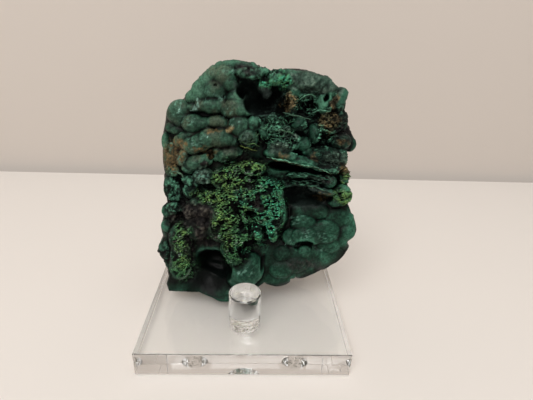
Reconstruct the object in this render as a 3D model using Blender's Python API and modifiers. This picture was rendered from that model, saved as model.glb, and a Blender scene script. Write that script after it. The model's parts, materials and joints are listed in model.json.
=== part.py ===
"""A malachite specimen resting on a clear three-post stand.

The stand is a square plate and three round posts that are bonded to its top. The stone
is one solid: a leaning slab whose front is grown over with rounded lumps, ledges, a porous
crust, caves and a smooth bowl, and whose back is a broken, uneven face.

World frame: metres, +Z up, the origin at the centre of the plate's underside, the front of the
specimen towards -Y. The stone has its own axes, in millimetres: a runs to the right, b runs up
the leaning slab and c comes out of it towards the front.
"""
import bmesh
import bpy
import numpy as np

MM = 0.001

# ------------------------------------------------------------------ the stand (metres)
PLATE_SIDE = 101.6 * MM
PLATE_THICKNESS = 12.7 * MM
PLATE_EDGE = 0.2 * MM
POST_RADIUS = 7.9375 * MM
POST_HEIGHT_ABOVE = 19.05 * MM
POST_EDGE = 0.55 * MM
FIT_GAP = 0.3 * MM
POST_GAP = 1.0 * MM
POST_SIDES = 32
POST_CENTRES = {
    "post_front": (0.0, -29.5 * MM),
    "post_rear_left": (-30.9 * MM, 31.0 * MM),
    "post_rear_right": (30.9 * MM, 31.0 * MM),
}

# ------------------------------------------------------------------ the stone's frame (mm)
LEAN = np.radians(10.0)
SLAB_ORIGIN = np.array([0.0, -10.0, 12.7])
AXIS_A = np.array([1.0, 0.0, 0.0])
AXIS_B = np.array([0.0, np.sin(LEAN), np.cos(LEAN)])
AXIS_C = np.array([0.0, -np.cos(LEAN), np.sin(LEAN)])
# Lumps grow out towards this point in front of the slab and above it.
GROWTH_POINT = np.array([3.4, 105.0, 190.5])
SLAB_CENTRE = np.array([3.0, 64.0])
BACK_CENTRE = np.array([3.0, 70.0])

# The edge of the slab, clockwise from the lower left corner: a, b and how far forward it lies.
EDGE = np.array([
    (-42.5, 3.3, 0.0), (-43.7, 8, -1), (-42.2, 12.5, -3), (-43.1, 17, -4), (-45.1, 21.5, -5),
    (-47, 27, -6), (-46.2, 32, -6), (-44.5, 35.5, -7), (-45.4, 40.5, -6), (-44.2, 45, -7),
    (-42.2, 53.5, -8), (-42, 60, -8), (-42.8, 65, -8), (-42.4, 70, -8), (-42.9, 76, -8),
    (-42.6, 83, -8), (-42.2, 90, -8), (-41.0, 95, -8), (-40.0, 100, -7), (-38.5, 103.5, -7),
    (-35.5, 106, -7), (-32, 106.3, -8), (-27.3, 111.2, -7), (-23.3, 114.5, -7), (-19.5, 119, -7),
    (-15.5, 122.9, -7), (-12, 124.7, -7), (-7, 125.2, -7), (0, 124.3, -7), (5, 122.6, -7),
    (9.5, 120.4, -7), (14, 120.8, -7), (18, 121.8, -7), (24, 122, -7), (33, 120, -7),
    (37.5, 117.6, -7), (41, 115.4, -7), (43, 112, -7), (47, 109.5, -6), (47, 102, -7),
    (49, 99, -7), (51.5, 94, -7), (54.4, 86, -7), (50, 81.5, -7), (49.6, 73.5, -7),
    (50.6, 68, -6), (54.4, 60, -4), (53, 55.5, -6), (54.4, 50, -7), (56.6, 45, -6), (58.8, 40, -5),
    (57.8, 37.3, -5), (54, 35.7, -6), (50, 32.5, -6), (48.5, 29, -5), (42, 23.0, -5),
    (34, 17.8, -4), (26, 12.6, -4), (20, 10.5, -4), (14, 9.6, -3), (10, 9.0, -2), (3, 4, 2),
    (-3, -0.7, 3), (-9, -3.4, 4), (-14, -3.3, 4), (-18, -0.6, 2.5), (-26, 3.0, 0), (-37, 3.4, 0),
])

# Broad swells and hollows of the front: a, b, half widths, height.
SWELLS = [
    (32, 48, 18, 16, -9), (38, 28, 14, 12, -4), (-20, 14, 9, 10, -8), (-5, 52, 20, 18, 6),
    (22, 96, 24, 16, 3.5), (-18, 96, 16, 20, 3),
]

# Planes of the broken back: depth at the slab's origin, slope along a, slope along b.
BREAKS = [
    (40.5, 0.07, 0.0), (47.0, 0.50, -0.06), (66.0, -0.62, -0.10), (88.0, 0.16, -0.55),
    (43.0, -0.20, -0.04),
]
BACK_SQUARENESS = 4.0
# The broken underside rises from the foot at the front to the tops of the rear posts.
FOOT_Y = -7.0
FOOT_Z = 12.9
UNDERSIDE_SLOPE = 0.40

# Families of rounded growths. Each has how far its members melt together, how full they are
# (1 is round, less is flatter), then each member's a, b, crown height, half width and half
# height in millimetres. A crease parts two families.
VELVET_BUDS = [
    (1.2, 0.85, [(-32.8, 99.6, 5.2, 7.2, 6.9), (-32.4, 95.4, 4.2, 4.0, 3.6),
                 (-37.0, 99.0, 2.2, 3.2, 3.8)]),
    (0.8, 0.90, [(-27.0, 102.4, 5.2, 3.8, 2.0), (-24.4, 101.8, 5.4, 2.4, 1.5)]),
    (2.2, 0.80, [(-26.4, 107.6, 4.8, 4.6, 3.8), (-22.0, 111.8, 5.2, 5.6, 5.0),
                 (-18.0, 115.8, 5.2, 5.4, 4.6),
                 (-15.0, 119.4, 4.4, 5.0, 3.6)]),
    (1.6, 0.85, [(-11.4, 116.6, 7.8, 6.0, 6.0), (-8.6, 113.0, 6.8, 3.6, 3.2)]),
    (1.6, 0.80, [(-12.0, 121.9, 3.4, 4.8, 2.8), (-7.0, 122.7, 3.4, 5.2, 2.8),
                 (-0.5, 121.9, 3.6, 5.2, 2.8),
                 (6.0, 119.8, 3.8, 4.6, 2.8)]),
    (1.4, 0.85, [(-15.8, 111.0, 8.0, 5.6, 4.4), (-20.6, 109.4, 7.0, 4.6, 3.6),
                 (-24.6, 107.2, 6.0, 3.0, 2.6)]),
    (1.4, 0.85, [(-17.6, 103.4, 8.6, 6.0, 3.8), (-22.8, 103.8, 7.4, 3.4, 2.8),
                 (-13.2, 104.6, 7.6, 2.8, 3.0)]),
    (2.0, 0.85, [(-7.8, 102.2, 9.4, 6.6, 4.3), (-6.6, 106.8, 8.2, 5.0, 4.8),
                 (-2.4, 101.6, 8.2, 4.2, 3.2)]),
    (1.2, 0.90, [(-27.0, 94.6, 9.0, 5.9, 4.7), (-21.2, 94.8, 7.4, 3.0, 3.2), (-15.4, 96.0, 8.4, 5.0, 3.4),
                 (-11.2, 94.8, 7.2, 2.8, 2.8)]),
    (1.4, 0.90, [(-4.4, 94.2, 10.0, 5.9, 5.5)]),
    (1.4, 0.90, [(2.8, 95.2, 9.4, 3.8, 4.0)]),
    (1.8, 0.90, [(-31.4, 84.6, 7.4, 2.8, 3.0), (-27.7, 83.9, 9.4, 4.8, 4.6),
                 (-23.4, 86.0, 10.0, 5.2, 4.8),
                 (-19.4, 88.0, 10.8, 4.8, 4.7), (-13.6, 88.2, 10.4, 5.8, 4.9), (-7.8, 86.6, 8.6, 3.9, 3.3)]),
    (0.9, 0.90, [(-34.3, 86.0, 5.6, 3.0, 3.2), (-31.0, 88.4, 6.6, 3.8, 2.6),
                 (-27.4, 89.8, 6.8, 3.2, 1.9)]),
    (1.4, 0.70, [(-37.6, 92.6, 1.8, 3.6, 2.8), (-34.4, 91.2, 3.4, 4.2, 2.2)]),
    (0.8, 0.80, [(-41.0, 85.5, 0.6, 2.2, 5.0)]),
    (1.0, 0.90, [(-31.8, 78.6, 7.2, 2.9, 4.0), (-33.6, 75.8, 6.4, 2.2, 2.4)]),
    (1.8, 0.90, [(-29.6, 73.0, 8.8, 3.9, 3.3), (-25.5, 75.4, 10.0, 5.4, 4.0),
                 (-21.4, 76.8, 9.2, 3.6, 3.1)]),
    (1.2, 0.85, [(-10.4, 80.2, 8.8, 5.2, 3.5), (-6.2, 81.6, 7.8, 3.6, 2.8),
                 (-13.0, 78.2, 7.6, 3.2, 2.2)]),
    (0.6, 0.90, [(-15.4, 82.0, 7.2, 2.4, 2.2)]),
    (0.6, 0.90, [(-16.0, 78.4, 7.0, 2.0, 2.1)]),
    (1.2, 0.90, [(0.2, 88.2, 11.4, 4.8, 4.6)]),
    (1.5, 0.85, [(-22.5, 68.5, 10.2, 5.4, 4.4), (-20.4, 65.0, 9.2, 3.8, 2.8)]),
    (1.5, 0.85, [(-29.2, 61.5, 8.4, 3.9, 4.9), (-30.6, 66.2, 7.0, 3.2, 2.8)]),
]
EDGE_LUMPS = [
    (1.4, 0.85, [(-38.0, 71.0, 3.4, 4.4, 3.0), (-40.2, 62.5, 1.6, 3.4, 7.0)]),
    (1.2, 0.85, [(-41.4, 49.8, 1.8, 3.2, 4.4), (-37.8, 51.2, 5.0, 3.6, 3.0)]),
    (1.2, 0.90, [(-41.8, 41.4, 2.4, 3.6, 3.6)]),
    (1.4, 0.90, [(-42.8, 28.6, 1.8, 4.2, 5.8)]),
    (2.0, 0.50, [(-35.2, 34.0, 7.6, 5.8, 9.0), (-35.4, 25.0, 7.8, 5.2, 7.0),
                 (-36.2, 17.6, 6.8, 5.6, 6.6)]),
    (1.0, 0.70, [(-33.6, 38.0, 9.2, 3.2, 2.8), (-36.0, 29.6, 9.0, 3.0, 3.2)]),
]
CRUST_MOUNDS = [
    (2.2, 0.70, [(-5.0, 64.0, 12.0, 15.0, 11.5), (8.0, 55.0, 14.0, 12.0, 13.5),
                 (-12.0, 54.0, 11.5, 13.5, 9.5),
                 (-10.0, 42.0, 12.0, 12.0, 9.5), (12.0, 49.0, 15.0, 8.4, 9.5)]),
    (1.2, 0.90, [(-7.0, 30.0, 13.0, 6.6, 7.4), (-5.6, 33.0, 15.0, 4.2, 4.0)]),
    (0.8, 0.90, [(-6.4, 24.0, 14.6, 4.4, 4.0)]),
    (0.8, 0.90, [(17.2, 52.0, 14.0, 3.0, 6.6)]),
    (0.8, 0.90, [(5.8, 40.4, 15.0, 3.2, 3.6), (6.4, 37.0, 13.6, 1.8, 2.8)]),
    (0.8, 0.90, [(12.6, 41.2, 15.0, 2.8, 3.2), (14.2, 37.2, 13.2, 2.0, 3.2)]),
    (0.8, 0.90, [(8.0, 58.2, 16.6, 4.4, 4.2)]),
    (0.8, 0.90, [(-1.2, 37.6, 14.0, 3.8, 3.6)]),
    (0.8, 0.90, [(0.0, 46.0, 14.6, 2.6, 2.5)]),
    (0.8, 0.90, [(-8.0, 45.6, 15.0, 3.8, 3.8)]),
    (0.8, 0.80, [(-14.6, 47.0, 13.6, 3.4, 3.0)]),
    (0.8, 0.80, [(-13.0, 64.6, 13.2, 4.4, 3.2)]),
    (0.8, 0.80, [(2.6, 72.6, 13.6, 5.6, 3.4)]),
    (2.4, 0.45, [(-26.0, 45.0, 8.4, 9.0, 11.0), (-22.0, 53.0, 9.4, 8.0, 6.0)]),
    (1.4, 0.80, [(-27.6, 50.0, 10.0, 4.2, 3.6), (-23.4, 43.0, 10.4, 4.0, 3.4),
                 (-28.0, 38.0, 8.8, 3.4, 3.8)]),
]
BOWL_BUDS = [
    (1.4, 0.75, [(0.4, 18.0, 10.0, 9.2, 9.8), (-2.0, 12.0, 8.6, 8.4, 6.4)]),
    (2.0, 0.30, [(20.0, 26.0, 0.0, 13.0, 12.0), (31.0, 22.0, 0.2, 13.0, 10.0),
                 (43.0, 30.0, 0.6, 13.0, 11.0),
                 (24.0, 47.0, -0.4, 13.0, 13.0), (40.0, 50.0, -0.4, 16.0, 10.0), (50.0, 42.0, 0.2, 9.0, 10.0),
                 (17.0, 15.0, 0.4, 10.0, 8.0)]),
    (1.2, 0.42, [(19.0, 17.0, 2.6, 6.6, 5.0), (27.0, 20.4, 2.2, 6.0, 4.8)]),
    (1.2, 0.45, [(19.4, 26.6, 1.8, 5.2, 4.8)]),
    (1.6, 0.42, [(30.2, 43.6, 2.6, 7.0, 5.0), (26.6, 50.0, 0.8, 4.6, 4.4)]),
    (1.8, 0.42, [(24.6, 36.4, 3.0, 5.4, 4.8), (31.0, 37.2, 4.2, 6.6, 4.8), (37.0, 37.6, 3.8, 5.2, 5.2)]),
    (1.8, 0.38, [(42.2, 39.6, 3.2, 7.8, 6.6), (44.4, 32.4, 2.4, 6.4, 5.4)]),
    (1.0, 0.50, [(40.8, 27.2, 2.0, 4.8, 3.6)]),
    (1.0, 0.55, [(53.8, 39.4, 1.8, 4.8, 4.4)]),
    (1.2, 0.40, [(38.4, 50.6, 0.8, 6.0, 4.4)]),
    (1.2, 0.40, [(47.4, 48.6, 0.8, 5.4, 4.8)]),
]
MATRIX_LUMPS = [
    (2.0, 0.70, [(26.0, 115.0, 8.0, 10.6, 6.4), (34.0, 113.6, 7.0, 7.8, 6.2),
                 (39.8, 110.8, 4.8, 5.4, 4.8),
                 (19.0, 117.2, 6.2, 5.6, 4.8)]),
    (1.0, 0.80, [(14.0, 119.2, 3.4, 5.6, 2.8)]),
    (0.6, 1.00, [(22.6, 111.0, 8.6, 2.8, 2.4)]),
    (1.0, 0.90, [(20.2, 107.2, 9.8, 3.4, 3.8), (20.6, 103.0, 9.2, 3.8, 3.4)]),
    (0.8, 1.00, [(27.4, 109.2, 8.2, 4.4, 2.2)]),
    (1.0, 0.85, [(36.6, 105.8, 8.6, 4.8, 6.2), (43.5, 106.0, 5.8, 4.4, 6.0)]),
    (1.0, 0.85, [(41.0, 96.4, 9.2, 6.4, 5.0), (45.6, 98.4, 5.8, 4.4, 5.8)]),
    (1.0, 0.85, [(45.0, 110.8, 4.4, 4.2, 3.6)]),
    (0.6, 1.00, [(25.2, 96.0, 9.6, 4.0, 3.6)]),
    (0.6, 1.00, [(33.2, 91.6, 8.6, 3.4, 5.0)]),
    (0.6, 1.00, [(28.0, 86.0, 9.6, 3.6, 3.6)]),
    (0.6, 1.00, [(23.0, 87.0, 10.4, 3.8, 4.0)]),
    (0.6, 1.00, [(30.4, 82.2, 8.6, 3.2, 2.6)]),
    (1.5, 0.80, [(16.0, 93.0, 11.2, 5.2, 4.2), (9.6, 92.6, 10.7, 4.4, 4.4),
                 (16.6, 84.8, 13.0, 6.4, 5.2)]),
    (1.0, 0.80, [(46.0, 88.0, 6.6, 6.2, 4.4)]),
    (0.8, 0.90, [(51.4, 87.0, -1.0, 3.6, 4.8)]),
    (1.6, 0.75, [(38.0, 80.0, 10.2, 10.0, 5.2), (46.0, 79.0, 7.4, 5.2, 6.0)]),
    (1.0, 0.90, [(49.6, 60.0, 8.2, 5.4, 5.6), (46.0, 58.0, 7.2, 4.2, 4.2)]),
    (0.8, 0.90, [(50.0, 70.0, 3.2, 2.8, 5.6)]),
]
# Caves and pits: centre a, b, c and radii along a, b, c. Their walls wobble.
CAVES = [
    (7.5, 107.5, 6, 10.0, 8.4, 22), (-0.5, 112, 5, 6.0, 4.6, 16), (15.5, 104, 6, 4.6, 6, 16),
    (24, 73.0, 10, 15, 3.4, 18), (30, 58.6, 3, 14, 6.0, 16), (-17.6, 18.2, 3, 10.6, 9.6, 16),
    (-36.5, 64.5, 6, 4.0, 3.6, 8), (-35.5, 46.2, 6, 4.4, 3.0, 9), (30.5, 104.6, 8, 3.6, 2.6, 8),
    (19, 97.5, 9, 3.2, 2.8, 8), (8, 97, 9, 2.2, 1.8, 6), (34, 99, 8, 4.4, 2.2, 7),
    (-21, 62, 9, 6, 2.4, 8), (31.6, 29.2, 3, 6.0, 5.2, 6.4), (9.8, 19.5, 8, 2.4, 7, 8),
    (-18, 78.4, 7, 1.5, 1.6, 5), (-16.4, 112.9, 8, 1.0, 0.8, 2.4), (38.2, 108.4, 8, 1.5, 1.8, 5),
    (2, 48, 12, 3.6, 2.8, 9), (-1, 29, 11, 3.6, 5.5, 8), (3.2, 67.4, 12, 2.2, 1.6, 6),
    (10, 38, 12, 1.8, 5, 8),
]
# Growths that stand in or over the caves: the ring's core, hanging tongues and ledges.
LATE_GROWTHS = [
    (0.8, 0.60, [(31.8, 27.8, 1.6, 4.2, 3.6)]),
    (1.2, 0.90, [(7.6, 114.0, 6.4, 3.4, 3.6), (8.6, 110.6, 5.0, 2.2, 2.6), (13.0, 117.0, 7.8, 4.0, 3.2)]),
    (1.0, 0.90, [(2.0, 118.8, 9.0, 5.0, 2.3), (-3.0, 119.4, 9.0, 3.4, 2.3)]),
    (1.2, 0.90, [(14.0, 81.3, 14.0, 5.0, 2.4), (20.0, 79.6, 14.0, 5.0, 2.3), (26.0, 77.8, 13.5, 5.0, 2.1),
                 (32.0, 76.2, 13.0, 5.0, 2.1), (38.0, 74.8, 12.0, 5.0, 2.2), (43.5, 74.0, 10.0, 4.0, 3.0)]),
    (0.8, 0.90, [(25.0, 70.2, 8.4, 4.0, 1.4), (31.0, 70.0, 9.2, 4.0, 1.4), (37.0, 69.0, 9.2, 4.0, 1.5),
                 (40.4, 66.8, 9.0, 2.4, 1.8)]),
    (0.8, 0.90, [(31.0, 66.4, 5.4, 9.4, 2.0), (42.0, 67.0, 9.0, 3.8, 3.6)]),
    (0.8, 0.90, [(35.0, 63.4, 9.2, 3.0, 1.5), (39.0, 62.0, 10.0, 3.0, 1.5),
                 (43.0, 61.2, 10.0, 3.0, 1.5)]),
]

# Beside a growth its surface falls away this many times as steeply, over this share of its size.
SKIRT_FALL = 3.0
SKIRT = 0.4
OUT_OF_REACH = 1000.0
# The walls of the caves wobble by so much, over lumps of this size.
WOBBLE = 1.3
WOBBLE_CELL = 4.6

# The porous crust: knobs on a sunflower spiral over a leaning ellipse.
CRUST_CENTRE = np.array([-1.0, 53.0])
CRUST_HALF = np.array([17.0, 24.0])
CRUST_KNOBS = 90
CRUST_KNOB_RADIUS = 2.1
CRUST_KNOB_RISE = 0.9
GOLDEN_ANGLE = np.pi * (3.0 - np.sqrt(5.0))

# The sphere that the stone is shaped from, and how many triangles the finished stone keeps.
SEGMENTS = 360
RINGS = 140
FRONT_RINGS = 96
SKIN_CELL = 1.1 * MM
STONE_TRIANGLES = 8600


# ------------------------------------------------------------------ materials
def material(name, colour, roughness, alpha=1.0, transmission=0.0):
    """A Principled material of one colour."""
    made = bpy.data.materials.new(name)
    made.use_nodes = True
    surface = made.node_tree.nodes["Principled BSDF"]
    surface.inputs["Base Color"].default_value = (*colour, 1.0)
    surface.inputs["Roughness"].default_value = roughness
    surface.inputs["Metallic"].default_value = 0.0
    surface.inputs["IOR"].default_value = 1.49 if transmission else 1.6
    surface.inputs["Transmission Weight"].default_value = transmission
    surface.inputs["Alpha"].default_value = alpha
    made.diffuse_color = (*colour, alpha)
    return made


# ------------------------------------------------------------------ stand
def add_collection(name):
    made = bpy.data.collections.new(name)
    bpy.context.scene.collection.children.link(made)
    return made


def own(thing, name, collection, surface=None):
    """Name an object and its mesh and move it to its collection."""
    thing.name = name
    thing.data.name = name
    for old in list(thing.users_collection):
        old.objects.unlink(thing)
    collection.objects.link(thing)
    if surface is not None:
        thing.data.materials.append(surface)
    return thing


def bevel(thing, width, angle_degrees, segments=1):
    made = thing.modifiers.new("edges", "BEVEL")
    made.width = width
    made.segments = segments
    made.limit_method = "ANGLE"
    made.angle_limit = np.radians(angle_degrees)
    return made


def cut_round(thing, name, centre, bottom, top, cutters):
    """Cut a round space, one fit gap wider than a post, out of a solid."""
    bpy.ops.mesh.primitive_cylinder_add(
        vertices=POST_SIDES, radius=POST_RADIUS + FIT_GAP, depth=top - bottom,
        location=(centre[0], centre[1], (top + bottom) / 2))
    cutter = own(bpy.context.object, name, cutters)
    cutter.hide_render = True
    cutter.display_type = "WIRE"
    cut = thing.modifiers.new(name, "BOOLEAN")
    cut.operation = "DIFFERENCE"
    cut.solver = "EXACT"
    cut.object = cutter


def add_plate(parts, surface):
    """The square plate with its polished edges."""
    bpy.ops.mesh.primitive_cube_add(size=1.0, location=(0, 0, PLATE_THICKNESS / 2))
    plate = own(bpy.context.object, "base_plate", parts, surface)
    for corner in plate.data.vertices:
        corner.co.x *= PLATE_SIDE
        corner.co.y *= PLATE_SIDE
        corner.co.z *= PLATE_THICKNESS
    bevel(plate, PLATE_EDGE, 60)
    return plate


def add_post(name, centre, parts, surface):
    """A round post with chamfered ends, standing on the plate where it is bonded."""
    foot = PLATE_THICKNESS + FIT_GAP
    top = PLATE_THICKNESS + POST_HEIGHT_ABOVE
    bpy.ops.mesh.primitive_cylinder_add(
        vertices=POST_SIDES, radius=POST_RADIUS, depth=top - foot,
        location=(centre[0], centre[1], (top + foot) / 2))
    post = own(bpy.context.object, name, parts, surface)
    bevel(post, POST_EDGE, 60)
    post.data.shade_smooth()
    post.data.set_sharp_from_angle(angle=np.radians(40))
    return post


# ------------------------------------------------------------------ stone: helpers
def lattice_noise(points, cell):
    """Smooth noise from -1 to 1: random values on a cubic lattice, blended between its nodes."""
    scaled = points / cell
    low = np.floor(scaled)
    part = scaled - low
    blend = part * part * (3.0 - 2.0 * part)
    total = np.zeros(points.shape[:-1])
    for corner in np.ndindex(2, 2, 2):
        step = np.array(corner, dtype=float)
        node = low + step
        value = np.sin(node @ np.array([127.1, 311.7, 74.7])) * 43758.5453
        value = value - np.floor(value)
        weight = np.prod(np.where(step == 1.0, blend, 1.0 - blend), axis=-1)
        total += weight * value
    return total * 2.0 - 1.0


def growth_direction(a, b):
    """Direction of growth at (a, b, 0), scaled to one millimetre along c."""
    start = np.stack([a, b, np.zeros_like(a)], axis=-1)
    return (GROWTH_POINT - start) / GROWTH_POINT[2]


def to_world(points):
    """Stone axes to world, both in millimetres."""
    return SLAB_ORIGIN + points[..., :1] * AXIS_A + points[..., 1:2] * AXIS_B + points[..., 2:] * AXIS_C


def unit(vectors):
    return vectors / np.linalg.norm(vectors, axis=-1, keepdims=True)


def ellipsoid_root(points, directions, centre, radii):
    """Distance along each direction to the ellipsoid's far side; beside it, a steep fall."""
    start = (points - centre) / radii
    slope = directions / radii
    square = (slope * slope).sum(axis=-1)
    half_linear = (start * slope).sum(axis=-1)
    constant = (start * start).sum(axis=-1) - 1.0
    inside_root = half_linear * half_linear - square * constant
    root = np.where(inside_root > 0, 1.0, -SKIRT_FALL) * np.sqrt(np.abs(inside_root))
    near = inside_root > -SKIRT * square
    return np.where(near, (root - half_linear) / square, -OUT_OF_REACH)


def bud_ellipsoid(bud, fullness):
    """Centre and radii of a growth given by its crown."""
    a, b, crown, half_a, half_b = bud
    depth = fullness * 0.5 * (half_a + half_b)
    centre = np.array([a, b, 0.0]) + growth_direction(np.float64(a), np.float64(b)) * (crown - depth)
    return centre, np.array([half_a, half_b, depth])


def grow(points, directions, families):
    """Push the surface out to the outermost family; the members of a family melt together."""
    reach = np.zeros(points.shape[:-1])
    for melt, fullness, buds in families:
        exits = [ellipsoid_root(points, directions, *bud_ellipsoid(bud, fullness)) for bud in buds]
        exits = np.stack(exits)
        top = exits.max(axis=0)
        joined = top + melt * np.log(np.exp((exits - top) / melt).sum(axis=0))
        reach = np.maximum(reach, joined)
    return points + directions * reach[..., None]


def wobbled(points):
    """Points shifted by smooth noise, so that what is measured from them gets wavy walls."""
    shift = [lattice_noise(points + offset, WOBBLE_CELL) for offset in (0.0, 40.0, 80.0)]
    return points + WOBBLE * np.stack(shift, axis=-1)


def hollow(points, directions, caves):
    """Pull the surface back to the floor of each cave it stands in."""
    for a, b, c, *radii in caves:
        centre = np.array([a, b, 0.0]) + growth_direction(np.float64(a), np.float64(b)) * c
        radii = np.array(radii)
        place = wobbled(points)
        inside = (((place - centre) / radii) ** 2).sum(axis=-1) < 1.0
        back = ellipsoid_root(place, -directions, centre, radii)
        points = points - directions * np.where(inside, back, 0.0)[..., None]
    return points


def crust_knobs():
    """Small knobs along a sunflower spiral, standing on the crust's mounds."""
    knobs = []
    for index in range(CRUST_KNOBS):
        radius = np.sqrt((index + 0.5) / CRUST_KNOBS)
        angle = index * GOLDEN_ANGLE
        offset = CRUST_HALF * radius * np.array([np.cos(angle), np.sin(angle)])
        lean = -0.22 * offset[1]
        knobs.append((CRUST_CENTRE[0] + offset[0] - lean, CRUST_CENTRE[1] + offset[1]))
    return knobs


# ------------------------------------------------------------------ stone: the surface
def slab_edge(angles):
    """Distance of the edge from the slab's centre, and its c, for each angle round it."""
    away = EDGE[:, :2] - SLAB_CENTRE
    at = np.arctan2(away[:, 1], away[:, 0])
    order = np.argsort(at)
    reach = np.interp(angles, at[order], np.hypot(*away[order].T), period=2 * np.pi)
    forward = np.interp(angles, at[order], EDGE[order, 2], period=2 * np.pi)
    return reach, forward


def front_height(a, b, share, edge_c):
    """Height of the bare front: it turns down to the edge, with broad swells and hollows."""
    height = np.ones_like(a)
    for a0, b0, half_a, half_b, rise in SWELLS:
        height = height + rise * np.exp(-((a - a0) / half_a) ** 2 - ((b - b0) / half_b) ** 2)
    fullness = (1.0 - np.clip(share, 0, 1) ** 5) ** (1 / 3)
    return edge_c + (height - edge_c) * fullness


def surface_normals(grid):
    around = np.roll(grid, -1, axis=1) - np.roll(grid, 1, axis=1)
    along = np.gradient(grid, axis=0)
    return unit(np.cross(along, around) + 1e-9)


def raise_underside(grid):
    """Lift what hangs below the sloping underside onto it, along b."""
    world = to_world(grid)
    floor = FOOT_Z + UNDERSIDE_SLOPE * np.maximum(world[..., 1] - FOOT_Y, 0)
    short = np.maximum(floor - world[..., 2], 0)
    lifted = grid.copy()
    lifted[..., 1] += short / (AXIS_B[2] - UNDERSIDE_SLOPE * AXIS_B[1])
    return lifted


def bare_slab():
    """Rings from the front's centre over the edge to the back's centre, with growth directions."""
    angles = np.linspace(-np.pi, np.pi, SEGMENTS, endpoint=False)
    reach, edge_c = slab_edge(angles)
    ray = np.stack([np.cos(angles), np.sin(angles)], axis=-1)
    rings = []
    for index in range(1, FRONT_RINGS + 1):
        share = (index / FRONT_RINGS) ** 0.9
        ab = SLAB_CENTRE + ray * (reach * share)[:, None]
        toward = growth_direction(ab[:, 0], ab[:, 1])
        height = front_height(ab[:, 0], ab[:, 1], np.full(SEGMENTS, share), edge_c)
        flat = np.concatenate([ab, np.zeros((SEGMENTS, 1))], axis=1)
        rings.append(flat + toward * height[:, None])
    edge = rings[-1]
    back_rings = RINGS - 1 - FRONT_RINGS
    for index in range(1, back_rings + 1):
        turn = 0.5 * np.pi * index / (back_rings + 0.35)
        spread = np.cos(turn) ** (2 / BACK_SQUARENESS)
        sunk = np.sin(turn) ** (2 / BACK_SQUARENESS)
        ab = BACK_CENTRE + (edge[:, :2] - BACK_CENTRE) * spread
        planes = [d + sa * ab[:, 0] + sb * ab[:, 1] for d, sa, sb in BREAKS]
        depth = np.min(planes, axis=0)
        c = edge[:, 2] - (depth + edge[:, 2]) * sunk
        rings.append(np.concatenate([ab, c[:, None]], axis=1))
    grid = np.stack(rings)
    grid[FRONT_RINGS:] = raise_underside(grid[FRONT_RINGS:])
    directions = surface_normals(grid)
    front = unit(growth_direction(grid[:FRONT_RINGS, :, 0], grid[:FRONT_RINGS, :, 1]))
    turnover = np.clip((np.arange(FRONT_RINGS) - (FRONT_RINGS - 7)) / 7, 0, 1) * 0.6
    mix = turnover[:, None, None]
    directions[:FRONT_RINGS] = front * (1 - mix) + directions[:FRONT_RINGS] * mix
    return grid, unit(directions)


def rest_on_stand(world):
    """Keep the stone clear of the plate and of each post."""
    gap = POST_GAP / MM
    plate_top = PLATE_THICKNESS / MM
    post_top = plate_top + POST_HEIGHT_ABOVE / MM
    world[..., 2] = np.maximum(world[..., 2], plate_top + FIT_GAP / MM)
    for x, y in POST_CENTRES.values():
        clear = POST_RADIUS / MM + gap
        across = world[..., 0] - x / MM
        inward = world[..., 1] - y / MM
        inside = (across**2 + inward**2 < clear**2) & (world[..., 2] < post_top + gap)
        up = post_top + gap - world[..., 2]
        side = np.sqrt(np.maximum(clear**2 - across**2, 0)) * (1.0 if y < 0 else -1.0)
        slide = np.abs(side - inward)
        lift = inside & (up <= slide)
        push = inside & (up > slide)
        world[..., 2] = np.where(lift, post_top + gap, world[..., 2])
        world[..., 1] = np.where(push, y / MM + side, world[..., 1])
    return world


def stone_surface():
    """The stone's rings in world millimetres."""
    points, directions = bare_slab()
    early = VELVET_BUDS + EDGE_LUMPS + CRUST_MOUNDS + BOWL_BUDS + MATRIX_LUMPS
    points = grow(points, directions, early)
    points = hollow(points, directions, CAVES)
    points = grow(points, directions, LATE_GROWTHS)
    lift = np.zeros(points.shape[:-1])
    for a, b in crust_knobs():
        spread = np.hypot(points[..., 0] - a, points[..., 1] - b) / CRUST_KNOB_RADIUS
        lift = np.maximum(lift, np.sqrt(np.maximum(1 - spread**2, 0)))
    ahead = points[..., 2] > 0
    points = points + directions * (CRUST_KNOB_RISE * lift * ahead)[..., None]
    world = to_world(points)
    back_share = np.clip((np.arange(len(world)) - FRONT_RINGS + 4) / 12, 0, 1)
    rough = 1.8 * lattice_noise(world, 11.0) + 0.8 * lattice_noise(world, 4.5)
    outward = directions @ np.stack([AXIS_A, AXIS_B, AXIS_C])
    world = world + outward * (rough * back_share[:, None])[..., None]
    return rest_on_stand(world)


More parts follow.
